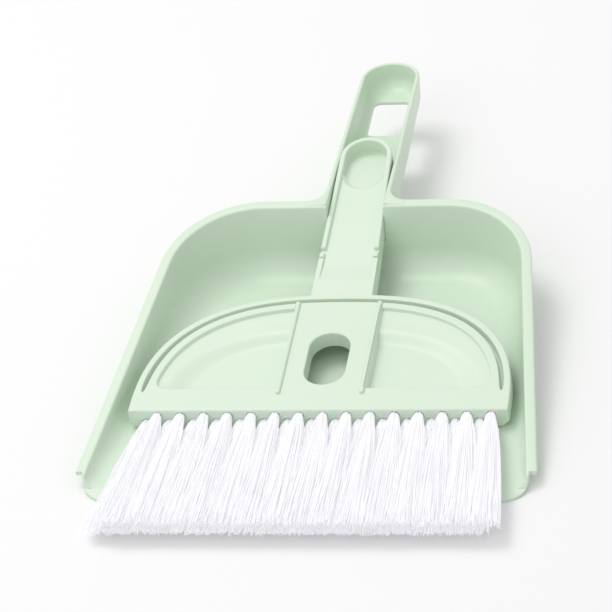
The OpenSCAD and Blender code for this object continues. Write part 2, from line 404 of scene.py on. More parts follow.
def through_cutter(outline: Outline, top: Height, bottom: Height, round_r: float) -> Shape:
    """A cutter for a hole that goes right through, with rounded edges on both sides.

    Args:
        outline: The hole's plan.
        top: Height of the face it starts in.
        bottom: Height of the face it ends in.
        round_r: Radius of both edges.

    Returns:
        The closed cutter.
    """
    over = 4.0
    levels: list[Level] = [(-round_r, lambda p: top(p) + over)]
    levels += [(-rest, lambda p, d=drop: top(p) - d) for drop, rest in quarter(round_r)]
    levels += [(-rest, lambda p, d=drop: bottom(p) + d) for drop, rest in reversed(quarter(round_r))]
    levels.append((-round_r, lambda p: bottom(p) - over))
    return stack(outline, levels)


def block(low: Sequence[float], high: Sequence[float]) -> Shape:
    """A box, for cutting.

    Args:
        low: Its corner with the least x, y and z.
        high: The corner across from it.

    Returns:
        The box.
    """
    (x0, y0, z0), (x1, y1, z1) = low, high
    plan = np.array([(x0, y0), (x1, y0), (x1, y1), (x0, y1)], float)
    return stack(plan, [(0, at(z0)), (0, at(z1))])


def combine(base: bpy.types.Object, tool: bpy.types.Object, join: Join) -> None:
    """Combines tool with base and removes tool.

    Args:
        base: The object that takes the result.
        tool: The other closed solid.
        join: What is done with it.
    """
    step = base.modifiers.new("join", "BOOLEAN")
    step.operation = join.value
    step.solver = "MANIFOLD"
    step.object = tool
    bake_modifiers(base)
    bpy.data.objects.remove(tool)


def bake_modifiers(obj: bpy.types.Object) -> None:
    """Turns an object's evaluated shape into its plain mesh.

    Args:
        obj: The object, whose modifiers go.
    """
    bpy.context.view_layer.update()
    found = obj.evaluated_get(bpy.context.evaluated_depsgraph_get())
    mesh = bpy.data.meshes.new_from_object(found)
    obj.modifiers.clear()
    old, obj.data = obj.data, mesh
    bpy.data.meshes.remove(old)
    mesh.name = obj.name


def smooth(obj: bpy.types.Object, crease_deg: float = 34.0) -> None:
    """Shades a moulding smooth between creases, with its flat faces kept flat.

    Args:
        obj: The moulding.
        crease_deg: The angle from which an edge counts as a crease.
    """
    mesh = obj.data
    mesh.polygons.foreach_set("use_smooth", [True] * len(mesh.polygons))
    mesh.set_sharp_from_angle(angle=math.radians(crease_deg))
    weights = obj.modifiers.new("flat faces", "WEIGHTED_NORMAL")
    weights.keep_sharp = True
    bake_modifiers(obj)


def dress(obj: bpy.types.Object, finish: bpy.types.Material) -> None:
    """Gives an object its one material."""
    obj.data.materials.clear()
    obj.data.materials.append(finish)


# ---------------------------------------------------------------- finishes


@dataclass
class Nodes:
    """A short way to add and join nodes in one tree."""

    tree: bpy.types.NodeTree

    def feed(self, node: bpy.types.Node, inputs: dict) -> None:
        """Sets a node's inputs.

        Args:
            node: The node.
            inputs: Values to set or sockets to join, by the input's name or number.
        """
        for key, value in inputs.items():
            if isinstance(value, Socket):
                self.tree.links.new(value, node.inputs[key])
            else:
                node.inputs[key].default_value = value

    def add(self, kind: str, inputs: dict | None = None, **settings: object) -> bpy.types.Node:
        """Adds a node.

        Args:
            kind: Its type.
            inputs: Values or sockets for its inputs, by name or number.
            settings: Its other properties.

        Returns:
            The node.
        """
        node = self.tree.nodes.new(kind)
        for key, value in settings.items():
            setattr(node, key, value)
        self.feed(node, inputs or {})
        return node

    def maths(self, operation: str, *values: object) -> Socket:
        """The result of a Math node on numbers or sockets."""
        return self.add("ShaderNodeMath", dict(enumerate(values)), operation=operation).outputs[0]

    def times(self, *values: object) -> Socket:
        """The product of two numbers or sockets."""
        return self.maths("MULTIPLY", *values)

    def mix(self, factor: object, a: object, b: object) -> Socket:
        """A colour between a and b, each a socket or a plain colour."""
        a, b = (c if isinstance(c, Socket) else (*c, 1) for c in (a, b))
        return self.add("ShaderNodeMix", {0: factor, 6: a, 7: b}, data_type="RGBA").outputs[2]

    def between(self, value: object, low: float, high: float, out: tuple[float, float] = (0, 1)) -> Socket:
        """Maps a value from low..high to the out range, clamped."""
        inputs = {"Value": value, "From Min": low, "From Max": high, "To Min": out[0], "To Max": out[1]}
        return self.add("ShaderNodeMapRange", inputs).outputs[0]

    def own(self) -> Socket:
        """The object's own coordinates."""
        return self.add("ShaderNodeTexCoord").outputs["Object"]

    def noise(self, where: Socket, scale: float, detail: float, stretch: tuple | None = None) -> Socket:
        """Noise on the object's own coordinates.

        Args:
            where: The coordinates.
            scale: How many cells there are to a metre.
            detail: How many finer layers it has.
            stretch: How much the coordinates are multiplied, where it isn't even.

        Returns:
            The noise, from 0 to 1.
        """
        if stretch:
            where = self.add("ShaderNodeMapping", {"Vector": where, "Scale": stretch}).outputs[0]
        inputs = {"Vector": where, "Scale": scale, "Detail": detail}
        return self.add("ShaderNodeTexNoise", inputs).outputs[0]

    def bump(self, height: Socket, strength: float, depth: float, normal: Socket | None = None) -> Socket:
        """A normal that follows a height.

        Args:
            height: The height, from 0 to 1.
            strength: How much of it shows.
            depth: What a height of 1 stands for, in millimetres.
            normal: The normal that it starts from, if not the surface's own.

        Returns:
            The new normal.
        """
        inputs = {"Strength": strength, "Distance": depth * MM, "Height": height}
        if normal:
            inputs["Normal"] = normal
        return self.add("ShaderNodeBump", inputs).outputs[0]


def new_material(name: str) -> tuple[bpy.types.Material, Nodes, bpy.types.Node]:
    """An empty material with its principled shader.

    Args:
        name: The material's name.

    Returns:
        The material, its nodes and the shader node.
    """
    material = bpy.data.materials.new(name)
    material.use_nodes = True
    nodes = Nodes(material.node_tree)
    shader = material.node_tree.nodes["Principled BSDF"]
    return material, nodes, shader


@dataclass(frozen=True)
class MouldedPlastic:
    """Pastel polypropylene from a spark-eroded mould: fine texture, faint flow marks, rubbed edges.

    Each noise field gives the cells to a metre, the detail and, where it has one, the stretch.
    """

    name: str
    colour: Colour
    shade: Colour
    rubbed: Colour
    roughness: float = 0.4
    scuffs: float = 0.5
    edge_r: float = 0.45 * MM
    rub: float = 0.35
    specular: float = 0.45
    cloud: tuple = (14, 4)
    flow: tuple = (30, 5, (1.0, 0.35, 1.0))
    grain: tuple = (1500, 2)
    scratch: tuple = (60, 6, (9.0, 0.6, 4.0))
    wear: tuple = (420, 4)

    def rubbed_edges(self, nodes: Nodes, own: Socket, softened: Socket) -> Socket:
        """Finds where handling has rubbed the edges.

        Args:
            nodes: The material's nodes.
            own: The object's own coordinates.
            softened: The normal with its edges rounded.

        Returns:
            How much each place is rubbed.
        """
        true_normal = nodes.add("ShaderNodeNewGeometry").outputs["Normal"]
        facing = nodes.add("ShaderNodeVectorMath", {0: softened, 1: true_normal}, operation="DOT_PRODUCT")
        edge = nodes.between(facing.outputs["Value"], 0.985, 0.86)
        broken = nodes.between(nodes.noise(own, *self.wear), 0.42, 0.62)
        return nodes.times(nodes.times(edge, broken), self.rub)

    def build(self) -> bpy.types.Material:
        """Makes the material.

        Returns:
            The plastic.
        """
        material, nodes, shader = new_material(self.name)
        own = nodes.own()
        cloud, flow, grain, scratches = (
            nodes.noise(own, *sizes) for sizes in (self.cloud, self.flow, self.grain, self.scratch)
        )
        softened = nodes.add("ShaderNodeBevel", {"Radius": self.edge_r}, samples=6).outputs[0]
        rub = self.rubbed_edges(nodes, own, softened)
        body = nodes.mix(nodes.between(cloud, 0.35, 0.65, (0.0, 0.55)), self.colour, self.shade)
        body = nodes.mix(nodes.between(flow, 0.52, 0.7, (0.0, 0.25)), body, self.shade)
        low, high = self.roughness - 0.05, self.roughness + 0.03
        scuffed = nodes.times(nodes.between(scratches, 0.55, 0.72, (0.0, self.scuffs)), 0.22)
        rough = nodes.maths("ADD", nodes.between(cloud, 0.3, 0.7, (low, high)), scuffed)
        nodes.feed(shader, {
            "Base Color": nodes.mix(rub, body, self.rubbed),
            "Roughness": nodes.maths("ADD", rough, nodes.times(rub, 0.2)),
            "Normal": nodes.bump(scratches, 0.12, 0.08, nodes.bump(grain, 0.16, 0.06, softened)),
            "Specular IOR Level": self.specular,
        })
        return material


@dataclass(frozen=True)
class NylonBristle:
    """White nylon bristle: a cold white that varies from strand to strand, greyer in patches toward the tips,
    with a painted glow that stands in for light shining through the strands.
    """

    name: str
    colour: Colour = (0.95, 0.95, 0.975)
    dull: Colour = (0.87, 0.87, 0.91)
    # Greyer colour mixed in over the last part of each strand, toward the tips.
    tip_grey: Colour = (0.84, 0.83, 0.86)
    roughness: float = 0.42
    # Painted light: emission strength that brightens every strand as if light shone through the nylon.
    painted_translucent_glow: float = 0.19
    sheen: float = 0.15
    tip_greying: float = 0.4

    def build(self) -> bpy.types.Material:
        """Makes the material, which reads each strand's tone and how far along it a place is.

        Returns:
            The nylon.
        """
        material, nodes, shader = new_material(self.name)
        tone, reach = (
            nodes.add("ShaderNodeAttribute", attribute_name=name).outputs["Fac"] for name in ("tone", "reach")
        )
        own = nodes.own()
        body = nodes.mix(nodes.between(tone, 0.55, 1.0, (0.0, 0.7)), self.colour, self.dull)
        patches = nodes.between(nodes.noise(own, 160, 3), 0.4, 0.65)
        # Mask: greyer in noise patches over the last seventh of each strand, toward the tips.
        tip_greying = nodes.times(nodes.between(reach, 0.86, 1.0), patches)
        polish = (self.roughness - 0.06, self.roughness + 0.08)
        nodes.feed(shader, {
            "Base Color": nodes.mix(nodes.times(tip_greying, self.tip_greying), body, self.tip_grey),
            "Roughness": nodes.between(nodes.noise(own, 900, 2), 0.3, 0.7, polish),
            "Normal": nodes.bump(nodes.noise(own, 2600, 1), 0.2, 0.03),
            "Sheen Weight": self.sheen,
            # The emission is painted light, a glow standing in for light passing through the strands.
            "Emission Color": (*self.colour, 1),
            "Emission Strength": self.painted_translucent_glow,
        })
        return material


@dataclass(frozen=True)
class StapleSteel:
    """Flat tinned wire: drawn lines along it, with dull spots."""

    name: str
    colour: Colour = (0.62, 0.63, 0.65)
    spots: Colour = (0.36, 0.34, 0.32)
    roughness: float = 0.3

    def build(self) -> bpy.types.Material:
        """Makes the material.

        Returns:
            The steel.
        """
        material, nodes, shader = new_material(self.name)
        own = nodes.own()
        lines = nodes.noise(own, 400, 4, (0.3, 8.0, 8.0))
        spots = nodes.between(nodes.noise(own, 700, 3), 0.55, 0.7)
        polish = (self.roughness - 0.08, self.roughness + 0.15)
        nodes.feed(shader, {
            "Base Color": nodes.mix(spots, self.colour, self.spots),
            "Roughness": nodes.between(lines, 0.3, 0.7, polish),
            "Normal": nodes.bump(lines, 0.3, 0.02),
            "Metallic": 1.0,
        })
        return material


# ---------------------------------------------------------------- pan


@dataclass
class Dustpan:
    """The pan: a tray with leaning walls, a rim around it and a trough for a handle.

    The rim starts at the places in rim_start, each with the part of its width that it has there. web_overlap
    says how far the webs at the handle's root reach into the handle and the rim, and hang_hole gives the
    hanging hole's width, length and corner radius.
    """

    sole_half_w: float = 108.5
    sole_rear_half_w: float = 87.5
    sole_len: float = 178.0
    corner_r: float = 40.5
    lip_len: float = 11.5
    lip_corner_r: float = 14.0
    lip_bevel_len: float = 8.0
    lip_edge_h: float = 0.9
    rim_front_h: float = 7.5
    rim_rear_h: float = 39.5
    rim_w: float = 3.0
    rim_crown: float = 0.2
    rim_edge_r: float = 1.05
    rim_start: tuple[tuple[float, float], ...] = ((0.0, 0.84), (0.25, 0.94), (0.7, 1.0))
    wall: float = 2.2
    wall_lean_deg: float = 9.0
    wall_end_run: float = 3.5
    rear_fillet: float = 16.0
    front_fillet: float = 4.8
    front_y: float = -21.5
    floor_overlap: float = 2.0
    handle_root_half_w: float = 17.2
    handle_end_r: float = 15.8
    handle_draft: float = 0.9
    handle_edge_r: float = 1.0
    keel_r: float = 2.6
    channel_root_h: float = 18.4
    channel_end_h: float = 26.2
    channel_edge_r: float = 0.9
    channel_draft: float = 0.5
    channel_fillet: float = 2.2
    channel_end_fillet: float = 7.5
    root_fillet: float = 9.0
    web_edge_r: float = 1.0
    web_overlap: tuple[float, float] = (2.0, 4.5)
    hang_hole: tuple[float, float, float] = (19.4, 30.0, 3.5)
    hang_hole_setback: float = 32.5
    hang_hole_edge_r: float = 0.7

    @property
    def lean(self) -> float:
        """How far the walls lean out for each millimetre of height."""
        return math.tan(math.radians(self.wall_lean_deg))

    @property
    def rim_rear_y(self) -> float:
        """The rear edge of the rim."""
        return self.sole_len + self.rim_rear_h * self.lean + self.rim_w

    @property
    def rim_slope(self) -> float:
        """The rise of the rim's plane."""
        return (self.rim_rear_h - self.rim_front_h) / self.rim_rear_y

    def stations(self) -> list[tuple[np.ndarray, np.ndarray, float, float]]:
        """Places along the right half of the wall's foot, from the front round to the middle of the rear.

        Returns:
            For each, the foot, the way out, the fillet's radius and the part of the rim's width there.
        """
        taper = (self.sole_half_w - self.sole_rear_half_w) / (self.sole_len - self.corner_r)
        front = np.array([self.sole_half_w - self.front_y * taper, self.front_y])
        centre = np.array([self.sole_rear_half_w - self.corner_r, self.sole_len - self.corner_r])
        gap = front - centre
        turn = math.atan2(gap[1], gap[0]) + math.acos(self.corner_r / np.linalg.norm(gap))
        touch = centre + self.corner_r * np.array([math.cos(turn), math.sin(turn)])
        side_len = touch[1] - self.front_y
        before_lip, rim_full = -12.0, 2.0
        end_steps, side_steps, corner_steps, rear_steps = 12, 22, 30, 12
        plain = [(y, 0.0) for y in (self.front_y, before_lip, *np.linspace(-self.wall_end_run, 0, end_steps))]
        rimmed = [(y, 1.0) for y in np.linspace(rim_full, touch[1], side_steps)]
        found = []
        for y, part in [*plain, *self.rim_start, *rimmed]:
            t = (y - self.front_y) / side_len
            foot = front + (touch - front) * t
            direction = np.array([math.cos(turn * t), math.sin(turn * t)])
            fillet = self.front_fillet + (self.rear_fillet - self.front_fillet) * t
            found.append((foot, direction, fillet, part))
        for angle in np.linspace(turn, math.pi / 2, corner_steps)[1:]:
            direction = np.array([math.cos(angle), math.sin(angle)])
            found.append((centre + self.corner_r * direction, direction, self.rear_fillet, 1.0))
        for x in np.linspace(centre[0], 0, rear_steps)[1:]:
            found.append((np.array([x, self.sole_len]), np.array([0.0, 1.0]), self.rear_fillet, 1.0))
        return found

    def wall_curve(self, top: float, floor: float, foot: float, r: float) -> Section:
        """One face of the wall as a curve from its top down to the floor.

        Args:
            top: The height it starts at.
            floor: The height of the floor it runs out on.
            foot: How far out the wall would stand at height 0.
            r: The fillet's radius.

        Returns:
            Pairs of distance out and height.
        """
        lean_angle = math.radians(self.wall_lean_deg)
        centre = foot + self.lean * (floor + r) - r / math.cos(lean_angle)
        tangent = floor + r * (1 - math.sin(lean_angle))
        full = math.pi / 2 - lean_angle
        line_steps, arc_steps = 5, 12
        if top > tangent:
            line = [(foot + self.lean * z, z) for z in np.linspace(top, tangent, line_steps, endpoint=False)]
            angles = np.linspace(full, 0, arc_steps + 1)
        else:
            line = []
            angles = np.linspace(math.acos(1 - (top - floor) / r), 0, line_steps + arc_steps + 1)
        return line + [(centre + r * math.sin(a), floor + r * (1 - math.cos(a))) for a in angles]

    def rim_height(self, foot: np.ndarray, direction: np.ndarray, out: float) -> float:
        """Height of the rim's plane at a distance out from a foot."""
        return self.rim_front_h + self.rim_slope * max(foot[1] + direction[1] * out, 0.0)

    def top_of(
        self, foot: np.ndarray, direction: np.ndarray, floor: float, start: float, r: float
    ) -> tuple[float, float]:
        """Finds where a face of the wall meets the rim's plane.

        Args:
            foot: The wall's foot.
            direction: Which way is out.
            floor: The height of the floor that the face runs out on.
            start: How far out the face would stand at height 0.
            r: The fillet's radius.

        Returns:
            The distance out and the height.
        """
        out, height, rounds = start, 0.0, 6
        for _ in range(rounds):
            height = self.rim_height(foot, direction, out)
            out = self.wall_curve(height, floor, start, r)[0][0]
        return out, height

    def profile(self, foot: np.ndarray, direction: np.ndarray, r: float, part: float) -> Section:
        """Section of the wall from the tray's floor over the rim to the sole.

        Args:
            foot: The wall's foot.
            direction: Which way is out.
            r: The inner fillet's radius.
            part: How much of the rim's width there is.

        Returns:
            Pairs of distance out and height, the same number at every station.
        """
        e = self.rim_edge_r
        inner_foot = -self.wall / math.cos(math.radians(self.wall_lean_deg))
        inner_out, inner_top = self.top_of(foot, direction, self.wall, inner_foot, r)
        wall_out, _ = self.top_of(foot, direction, 0.0, 0.0, r + self.wall)
        edge_out = wall_out + self.rim_w * part

        def top(out: float) -> float:
            """Height of the rim's plane."""
            return self.rim_height(foot, direction, out)

        def crowned(out: float) -> float:
            """Height of the rim's top, which falls a little toward its outer edge."""
            share = (out - inner_out) / (wall_out + self.rim_w - inner_out)
            return top(out) - self.rim_crown * share**2 * (1 if part else 0)

        inner = self.wall_curve(inner_top - e, self.wall, inner_foot, r)[::-1]
        bare_edge, top_steps, end_steps = 0.4, 6, 10
        first, last = inner_out + e, edge_out - e * (1 if part else bare_edge)
        points = [(inner[0][0] - self.floor_overlap, self.wall), *inner]
        points += bend(inner[-1], (inner_out, inner_top), (first, crowned(first)))
        points += [(out, crowned(out)) for out in np.linspace(first, last, top_steps)]
        middle = crowned(edge_out) - self.wall / 2
        points += bend((last, crowned(last)), (edge_out, crowned(edge_out)), (edge_out, middle))
        points.append((edge_out, middle))
        outer = self.wall_curve(top(wall_out) - self.wall - e, 0.0, 0.0, r + self.wall)
        if part:
            under = top(edge_out) - self.wall
            points += bend((edge_out, middle), (edge_out, under), (edge_out - e, under))
            points.append((edge_out - e, under))
            near = (outer[0][0] + e, top(outer[0][0] + e) - self.wall)
            points.append(near)
            points += bend(near, (outer[0][0], top(wall_out) - self.wall), outer[0])
        else:
            down = np.linspace(middle, outer[0][1], end_steps)[1:-1]
            points += [self.wall_curve(z, 0.0, 0.0, r + self.wall)[0] for z in down]
        return points + outer + [(outer[-1][0] - self.floor_overlap, 0.0)]

    def wall_end(self, points: Section, y: float, r: float) -> Section:
        """Brings a section down to the slope in which the side walls end.

        Args:
            points: The section at full height.
            y: Where it is.
            r: The inner fillet's radius.

        Returns:
            The section with nothing above the slope.
        """
        drop = (self.rim_front_h - self.wall) / self.wall_end_run
        limit = max(self.rim_front_h + drop * y, self.wall)
        out, _ = self.wall_curve(limit, 0.0, 0.0, r + self.wall)[0]
        return [(min(d, out), limit) if z > limit else (d, z) for d, z in points]

    def tray(self) -> Shape:
        """Joins the sections into the tray with its rim, open to the front.

        Returns:
            The closed solid, whose floor is strips from side to side.
        """
        half = []
        for foot, direction, r, part in self.stations():
            points = self.profile(foot, direction, r, part)
            if foot[1] < 0:
                points = self.wall_end(points, foot[1], r)
            half.append([(*(foot + direction * d), z) for d, z in points])
        right = np.array(half)
        sections = np.concatenate([right, right[-2::-1] * [-1, 1, 1]])
        count, n = sections.shape[:2]
        faces = [
            (s * n + i, (s + 1) * n + i, (s + 1) * n + i + 1, s * n + i + 1)
            for s in range(count - 1)
            for i in range(n - 1)
        ]
        mid = count // 2
        for i in (0, n - 1):
            for s in range(mid - 1):
                far_s = count - 1 - s
                faces.append((s * n + i, (s + 1) * n + i, (far_s - 1) * n + i, far_s * n + i))
            faces.append(((mid - 1) * n + i, mid * n + i, (mid + 1) * n + i))
        faces.append(tuple(range(n)) + tuple(range(count * n - 1, (count - 1) * n - 1, -1)))
        return Shape(sections.reshape(-1, 3), faces)

    def channel_floor(self, lift: float = 0.0) -> Height:
        """The channel's sloping floor."""
        slope = (self.channel_end_h - self.channel_root_h) / (HANDLE_END_Y - self.rim_rear_y)
        return lambda p: self.channel_root_h + slope * (p[:, 1] - self.rim_rear_y) + lift

    def handle(self) -> Shape:
        """Outside of the handle: drafted sides, a full-round top edge and a soft keel.

        Returns:
            The solid, whose root stands inside the leaning rear wall.
        """
        root_run = 4.0
        start = self.rim_rear_y - self.rim_w - root_run
        plan = tongue(self.handle_root_half_w, self.handle_end_r, start, HANDLE_END_Y)
        keel, edge = quarter(self.keel_r, 6), quarter(self.handle_edge_r, FINE_STEPS)
        levels: list[Level] = [
            (self.handle_draft + rest, self.channel_floor(drop - self.wall)) for drop, rest in keel
        ]
        levels += [(drop, at(self.rim_rear_h - rest)) for drop, rest in edge]
        shape = stack(plan, levels, Cap.STRIP)
        lean_in = self.rim_rear_y - self.rim_w - self.rim_rear_h * self.lean - self.wall / 2
        at_root = shape.points[:, 1] < start + root_run
        shape.points[at_root, 1] = lean_in + shape.points[at_root, 2] * self.lean
        return shape

    def root_webs(self) -> list[Shape]:
        """The small webs that round the corners between the rear rim and the handle.

        Returns:
            The right one and the left one.
        """
        r, x, y = self.root_fillet, self.handle_root_half_w, self.rim_rear_y
        in_x, in_y = x - self.web_overlap[0], y - self.web_overlap[1]
        curve = arc(x + r, y + r, r, 270, 180, 16)
        plan = np.concatenate([curve, np.array([(in_x, y + r), (in_x, in_y), (x + r, in_y)])])

        def top(points: np.ndarray, drop: float) -> np.ndarray:
            """Height of the web, level with the handle and then with the rim's outer edge."""
            return self.rim_rear_h - self.rim_crown * smooth_step(x - 1, x + r, points[:, 0]) - drop

        edge = quarter(self.web_edge_r)
        levels: list[Level] = [(rest, at(self.rim_rear_h - self.wall + drop)) for drop, rest in edge]
        levels += [(drop, lambda p, d=rest: top(p, d)) for drop, rest in edge]
        web = stack(plan, levels)
        return [web, web.mirrored()]

    def channel(self) -> Shape:
        """The space in the handle that takes the brush, open at the top and into the tray.

        Returns:
            The cutter.
        """
        into_tray, over, tip_start, tip_full = 30.0, 12.0, 22.0, 6.0
        root_half_w, end_r = self.handle_root_half_w - self.wall, self.handle_end_r - self.wall
        plan = tongue(root_half_w, end_r, self.rim_rear_y - into_tray, HANDLE_END_Y - self.wall)
        tip = smooth_step(HANDLE_END_Y - tip_start, HANDLE_END_Y - tip_full, plan[:, 1])
        fillet = self.channel_fillet + (self.channel_end_fillet - self.channel_fillet) * tip
        floor = self.channel_floor()
        levels: list[Level] = [(-self.channel_edge_r, at(self.rim_rear_h + over))]
        levels += [(-rest, at(self.rim_rear_h - drop)) for drop, rest in quarter(self.channel_edge_r)]
        for drop, rest in quarter(1.0, 10):
            levels.append((self.channel_draft + fillet * drop, lambda p, lift=fillet * rest: floor(p) + lift))
        return stack(plan, levels, Cap.STRIP)

    def lip_plan(self) -> Shape:
        """Plan of the pan with round lip corners.

        Returns:
            A tall solid of which the pan keeps what is inside.
        """
        r, far, low, high = self.lip_corner_r, 400.0, -5.0, 90.0
        x, y = self.sole_half_w + self.lean * self.wall - r, r - self.lip_len
        plan = np.concatenate([
            arc(-x, y, r, 180, 270, 14),
            arc(x, y, r, 270, 360, 14),
            [(far, y), (far, far), (-far, far), (-far, y)],
        ])
        return stack(plan, [(0, at(low)), (0, at(high))])

    def lip_bevel(self) -> Shape:
        """What is taken off the top of the lip so that it runs out thin.

        Returns:
            The cutter.
        """
        before, over = 9.0, 20.0
        shape = block(
            (-REACH, -self.lip_len - before, 0), (REACH, self.lip_bevel_len - self.lip_len, over)
        )
        slope = (self.wall - self.lip_edge_h) / self.lip_bevel_len
        low = shape.points[:, 2] < 1
        shape.points[low, 2] = self.lip_edge_h + slope * (shape.points[low, 1] + self.lip_len)
        return shape

    def build(self, finish: bpy.types.Material) -> bpy.types.Object:
        """Makes the pan.

        Args:
            finish: Its plastic.

        Returns:
            The finished piece.
        """
        pan = self.tray().to_object("pan_moulding")
        combine(pan, self.lip_bevel().to_object("lip bevel"), Join.CUT)
        combine(pan, self.lip_plan().to_object("lip plan"), Join.KEEP)
        combine(pan, self.handle().to_object("handle"), Join.ADD)
        for web in self.root_webs():
            combine(pan, web.to_object("root web"), Join.ADD)
        combine(pan, self.channel().to_object("channel"), Join.CUT)
        w, l, r = self.hang_hole
        hole = rounded_rectangle(w, l, r, (0, HANDLE_END_Y - self.hang_hole_setback))
        cutter = through_cutter(
            hole, self.channel_floor(), self.channel_floor(-self.wall), self.hang_hole_edge_r
        )
        combine(pan, cutter.to_object("hanging hole"), Join.CUT)
        smooth(pan)
        dress(pan, finish)
        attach(pan, "dustpan")
        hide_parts("dustpan")
        return pan


# ---------------------------------------------------------------- brush


@dataclass
class BrushBody:
    """The brush's moulding: an arched head with two pockets and a ribbed handle.

    The arch is a superellipse of the given power. groove_mid and pocket_in are distances in from its edge.
    dish_edge says where a pocket's floor steps down, as a share of the arch, and how much farther out the
    step is at the sides; shelf_run is where the shelf beside the ridge falls, as shares of the arch too. oval
    gives the oval hole's width, length and middle. web_sink and rib_flare say along which stretch of the
    handle the web sinks and the ribs' inner faces come to lean, and rib_gap gives the gap's ends.
    """

    half_w: float = 94.0
    depth: float = 85.5
    power: float = 2.6
    block_h: float = 11.5
    block_depth: float = 18.0
    block_chamfer: float = 4.0
    plate_h: float = 9.0
    under_r: float = 0.6
    edge_r: float = 1.0
    groove_mid: float = 4.5
    groove_w: float = 2.3
    groove_flare: float = 0.45
    groove_draft: float = 0.2
    groove_foot_r: float = 0.6
    groove_depth: float = 4.2
    groove_front: float = 13.5
    groove_taper: float = 9.0
    pocket_in: float = 9.5
    pocket_front: float = 16.0
    pocket_depth: float = 5.6
    pocket_corner_r: float = 8.0
    pocket_edge_r: float = 0.6
    shelf_depth: float = 1.9
    shelf_fall: float = 0.5
    shelf_run: tuple[float, float] = (0.9, 0.78)
    dish_edge: tuple[float, float] = (0.677, 0.188)
    dish_blend: float = 0.045
    front_share: float = 0.35
    strip_half_w: float = 22.0
    rib_w: float = 2.4
    rib_rise: float = 1.5
    rib_edge_r: float = 1.05
    rib_front: float = 11.4
    oval: tuple[float, float, float] = (20.4, 37.6, 37.5)
    oval_edge_r: float = 0.8
    collar_w: float = 2.4
    strip_skin: float = 3.0
    strip_rear: float = 13.0
    setback: float = 43.0
    top_h: float = 13.95
    tilt_deg: float = 5.5
    handle_root_in: float = 2.4
    handle_len: float = 111.0
    handle_root_half_w: float = 15.9
    handle_tip_r: float = 13.4
    handle_h: float = 12.5
    handle_wall: float = 2.6
    handle_draft: float = 0.35
    handle_foot_r: float = 1.2
    handle_edge_r: float = 0.9
    handle_tilt_deg: float = 12.0
    web_drop: float = 2.0
    web_sink: tuple[float, float] = (5.0, 23.0)
    rib_flare: tuple[float, float] = (8.0, 27.0)
    rib_gap: tuple[float, float] = (29.0, 32.0)
    scoop_len: float = 33.0
    scoop_depth: float = 8.4
    scoop_edge: float = 1.5
    tuft_hole_d: float = 5.0
    tuft_hole_depth: float = 12.0

    @property
    def head_frame(self) -> Matrix:
        """Frame of the head: y back from its front edge, z up from its top."""
        tilt = Matrix.Rotation(math.radians(self.tilt_deg), 4, "X")
        return Matrix.Translation((0, self.setback, self.top_h)) @ tilt

    @property
    def handle_frame(self) -> Matrix:
        """Frame of the handle: y from the top of the arch, z up from the ribs' tops."""
        turn = math.radians(self.handle_tilt_deg - self.tilt_deg)
        return self.head_frame @ Matrix.Translation((0, self.depth, 0)) @ Matrix.Rotation(turn, 4, "X")

    @property
    def scoop_slope(self) -> float:
        """How fast the scoop's floor falls toward the tip."""
        return (self.scoop_depth - self.web_drop - self.scoop_edge) / self.scoop_len

    def handle_plan(self, start: float, side_steps: int) -> Outline:
        """Plan of the space between the handle's side walls."""
        root_half_w, tip_r = self.handle_root_half_w - self.handle_wall, self.handle_tip_r - self.handle_wall
        return tongue(root_half_w, tip_r, start, self.handle_len - self.handle_wall, side_steps)

    def arch(self, drawn_in: float, count: int) -> np.ndarray:
        """The head's curved edge.

        Args:
            drawn_in: How far inside the outer edge it runs.
            count: How many points it has.

        Returns:
            Evenly spaced points from the right end over the top to the left end.
        """
        fine = 4001
        t = np.linspace(0, math.pi, fine)
        c, s = np.cos(t), np.sin(t)
        a, b = self.half_w - drawn_in, self.depth - drawn_in
        x = a * np.sign(c) * np.abs(c) ** (2 / self.power)
        y = b * np.abs(s) ** (2 / self.power)
        return evenly(np.stack([x, y], axis=1), count)

    def head_blank(self) -> Shape:
        """The head without its pockets and holes.

        Returns:
            The solid.
        """
        front = level_line(0.0, -self.half_w, self.half_w, 30)[1:-1]
        plan = np.concatenate([self.arch(0, 141), front])
        levels: list[Level] = [(rest, at(drop - self.block_h)) for drop, rest in quarter(self.under_r, 3)]
        levels += [(drop, at(-rest)) for drop, rest in quarter(self.edge_r, FINE_STEPS)]
        return stack(plan, levels)

    def block_corners(self) -> list[Shape]:
        """What is cut off the block's two lower corners, which stay clear of the tray's sides.

        Returns:
            The two cutters.
        """
        half, over = self.block_chamfer / math.sqrt(2), 1.0
        bar = block((-half, -over, -half), (half, self.block_depth + over, half))
        turn = Matrix.Rotation(math.radians(45), 4, "Y")
        places = [Matrix.Translation((x, 0, -self.block_h)) for x in (-self.half_w, self.half_w)]
        return [bar.placed(place @ turn) for place in places]

    def ribs(self) -> list[Shape]:
        """The two thin ribs along the centre strip.

        Returns:
            The left one and the right one.
        """
        rear = self.depth - self.groove_mid - self.groove_w / 2 - self.groove_flare
        middle, length = (self.rib_front + rear) / 2, rear - self.rib_front
        r, root, corner_r = self.rib_edge_r, 1.5, 1.15
        levels: list[Level] = [(0, at(-root)), (0, at(self.rib_rise - r))]
        levels += [(drop, at(self.rib_rise - rest)) for drop, rest in quarter(r, FINE_STEPS)][1:]
        x = self.strip_half_w - self.rib_w / 2
        plans = [rounded_rectangle(self.rib_w, length, corner_r, (side * x, middle)) for side in (-1, 1)]
        return [stack(plan, levels) for plan in plans]

    def groove_places(self, length: float) -> np.ndarray:
        """Places along the groove, closest where it tapers to its ends.

        Args:
            length: How long the groove is.

        Returns:
            Distances from its right end.
        """
        taper, tiny = self.groove_taper, 0.05
        ends = taper * (1 - np.cos(np.linspace(0, math.pi / 2, 14)))[1:]
        along = np.linspace(taper, length - taper, 120)[1:-1]
        return np.concatenate([[tiny], ends, along, length - ends[::-1], [length - tiny]])

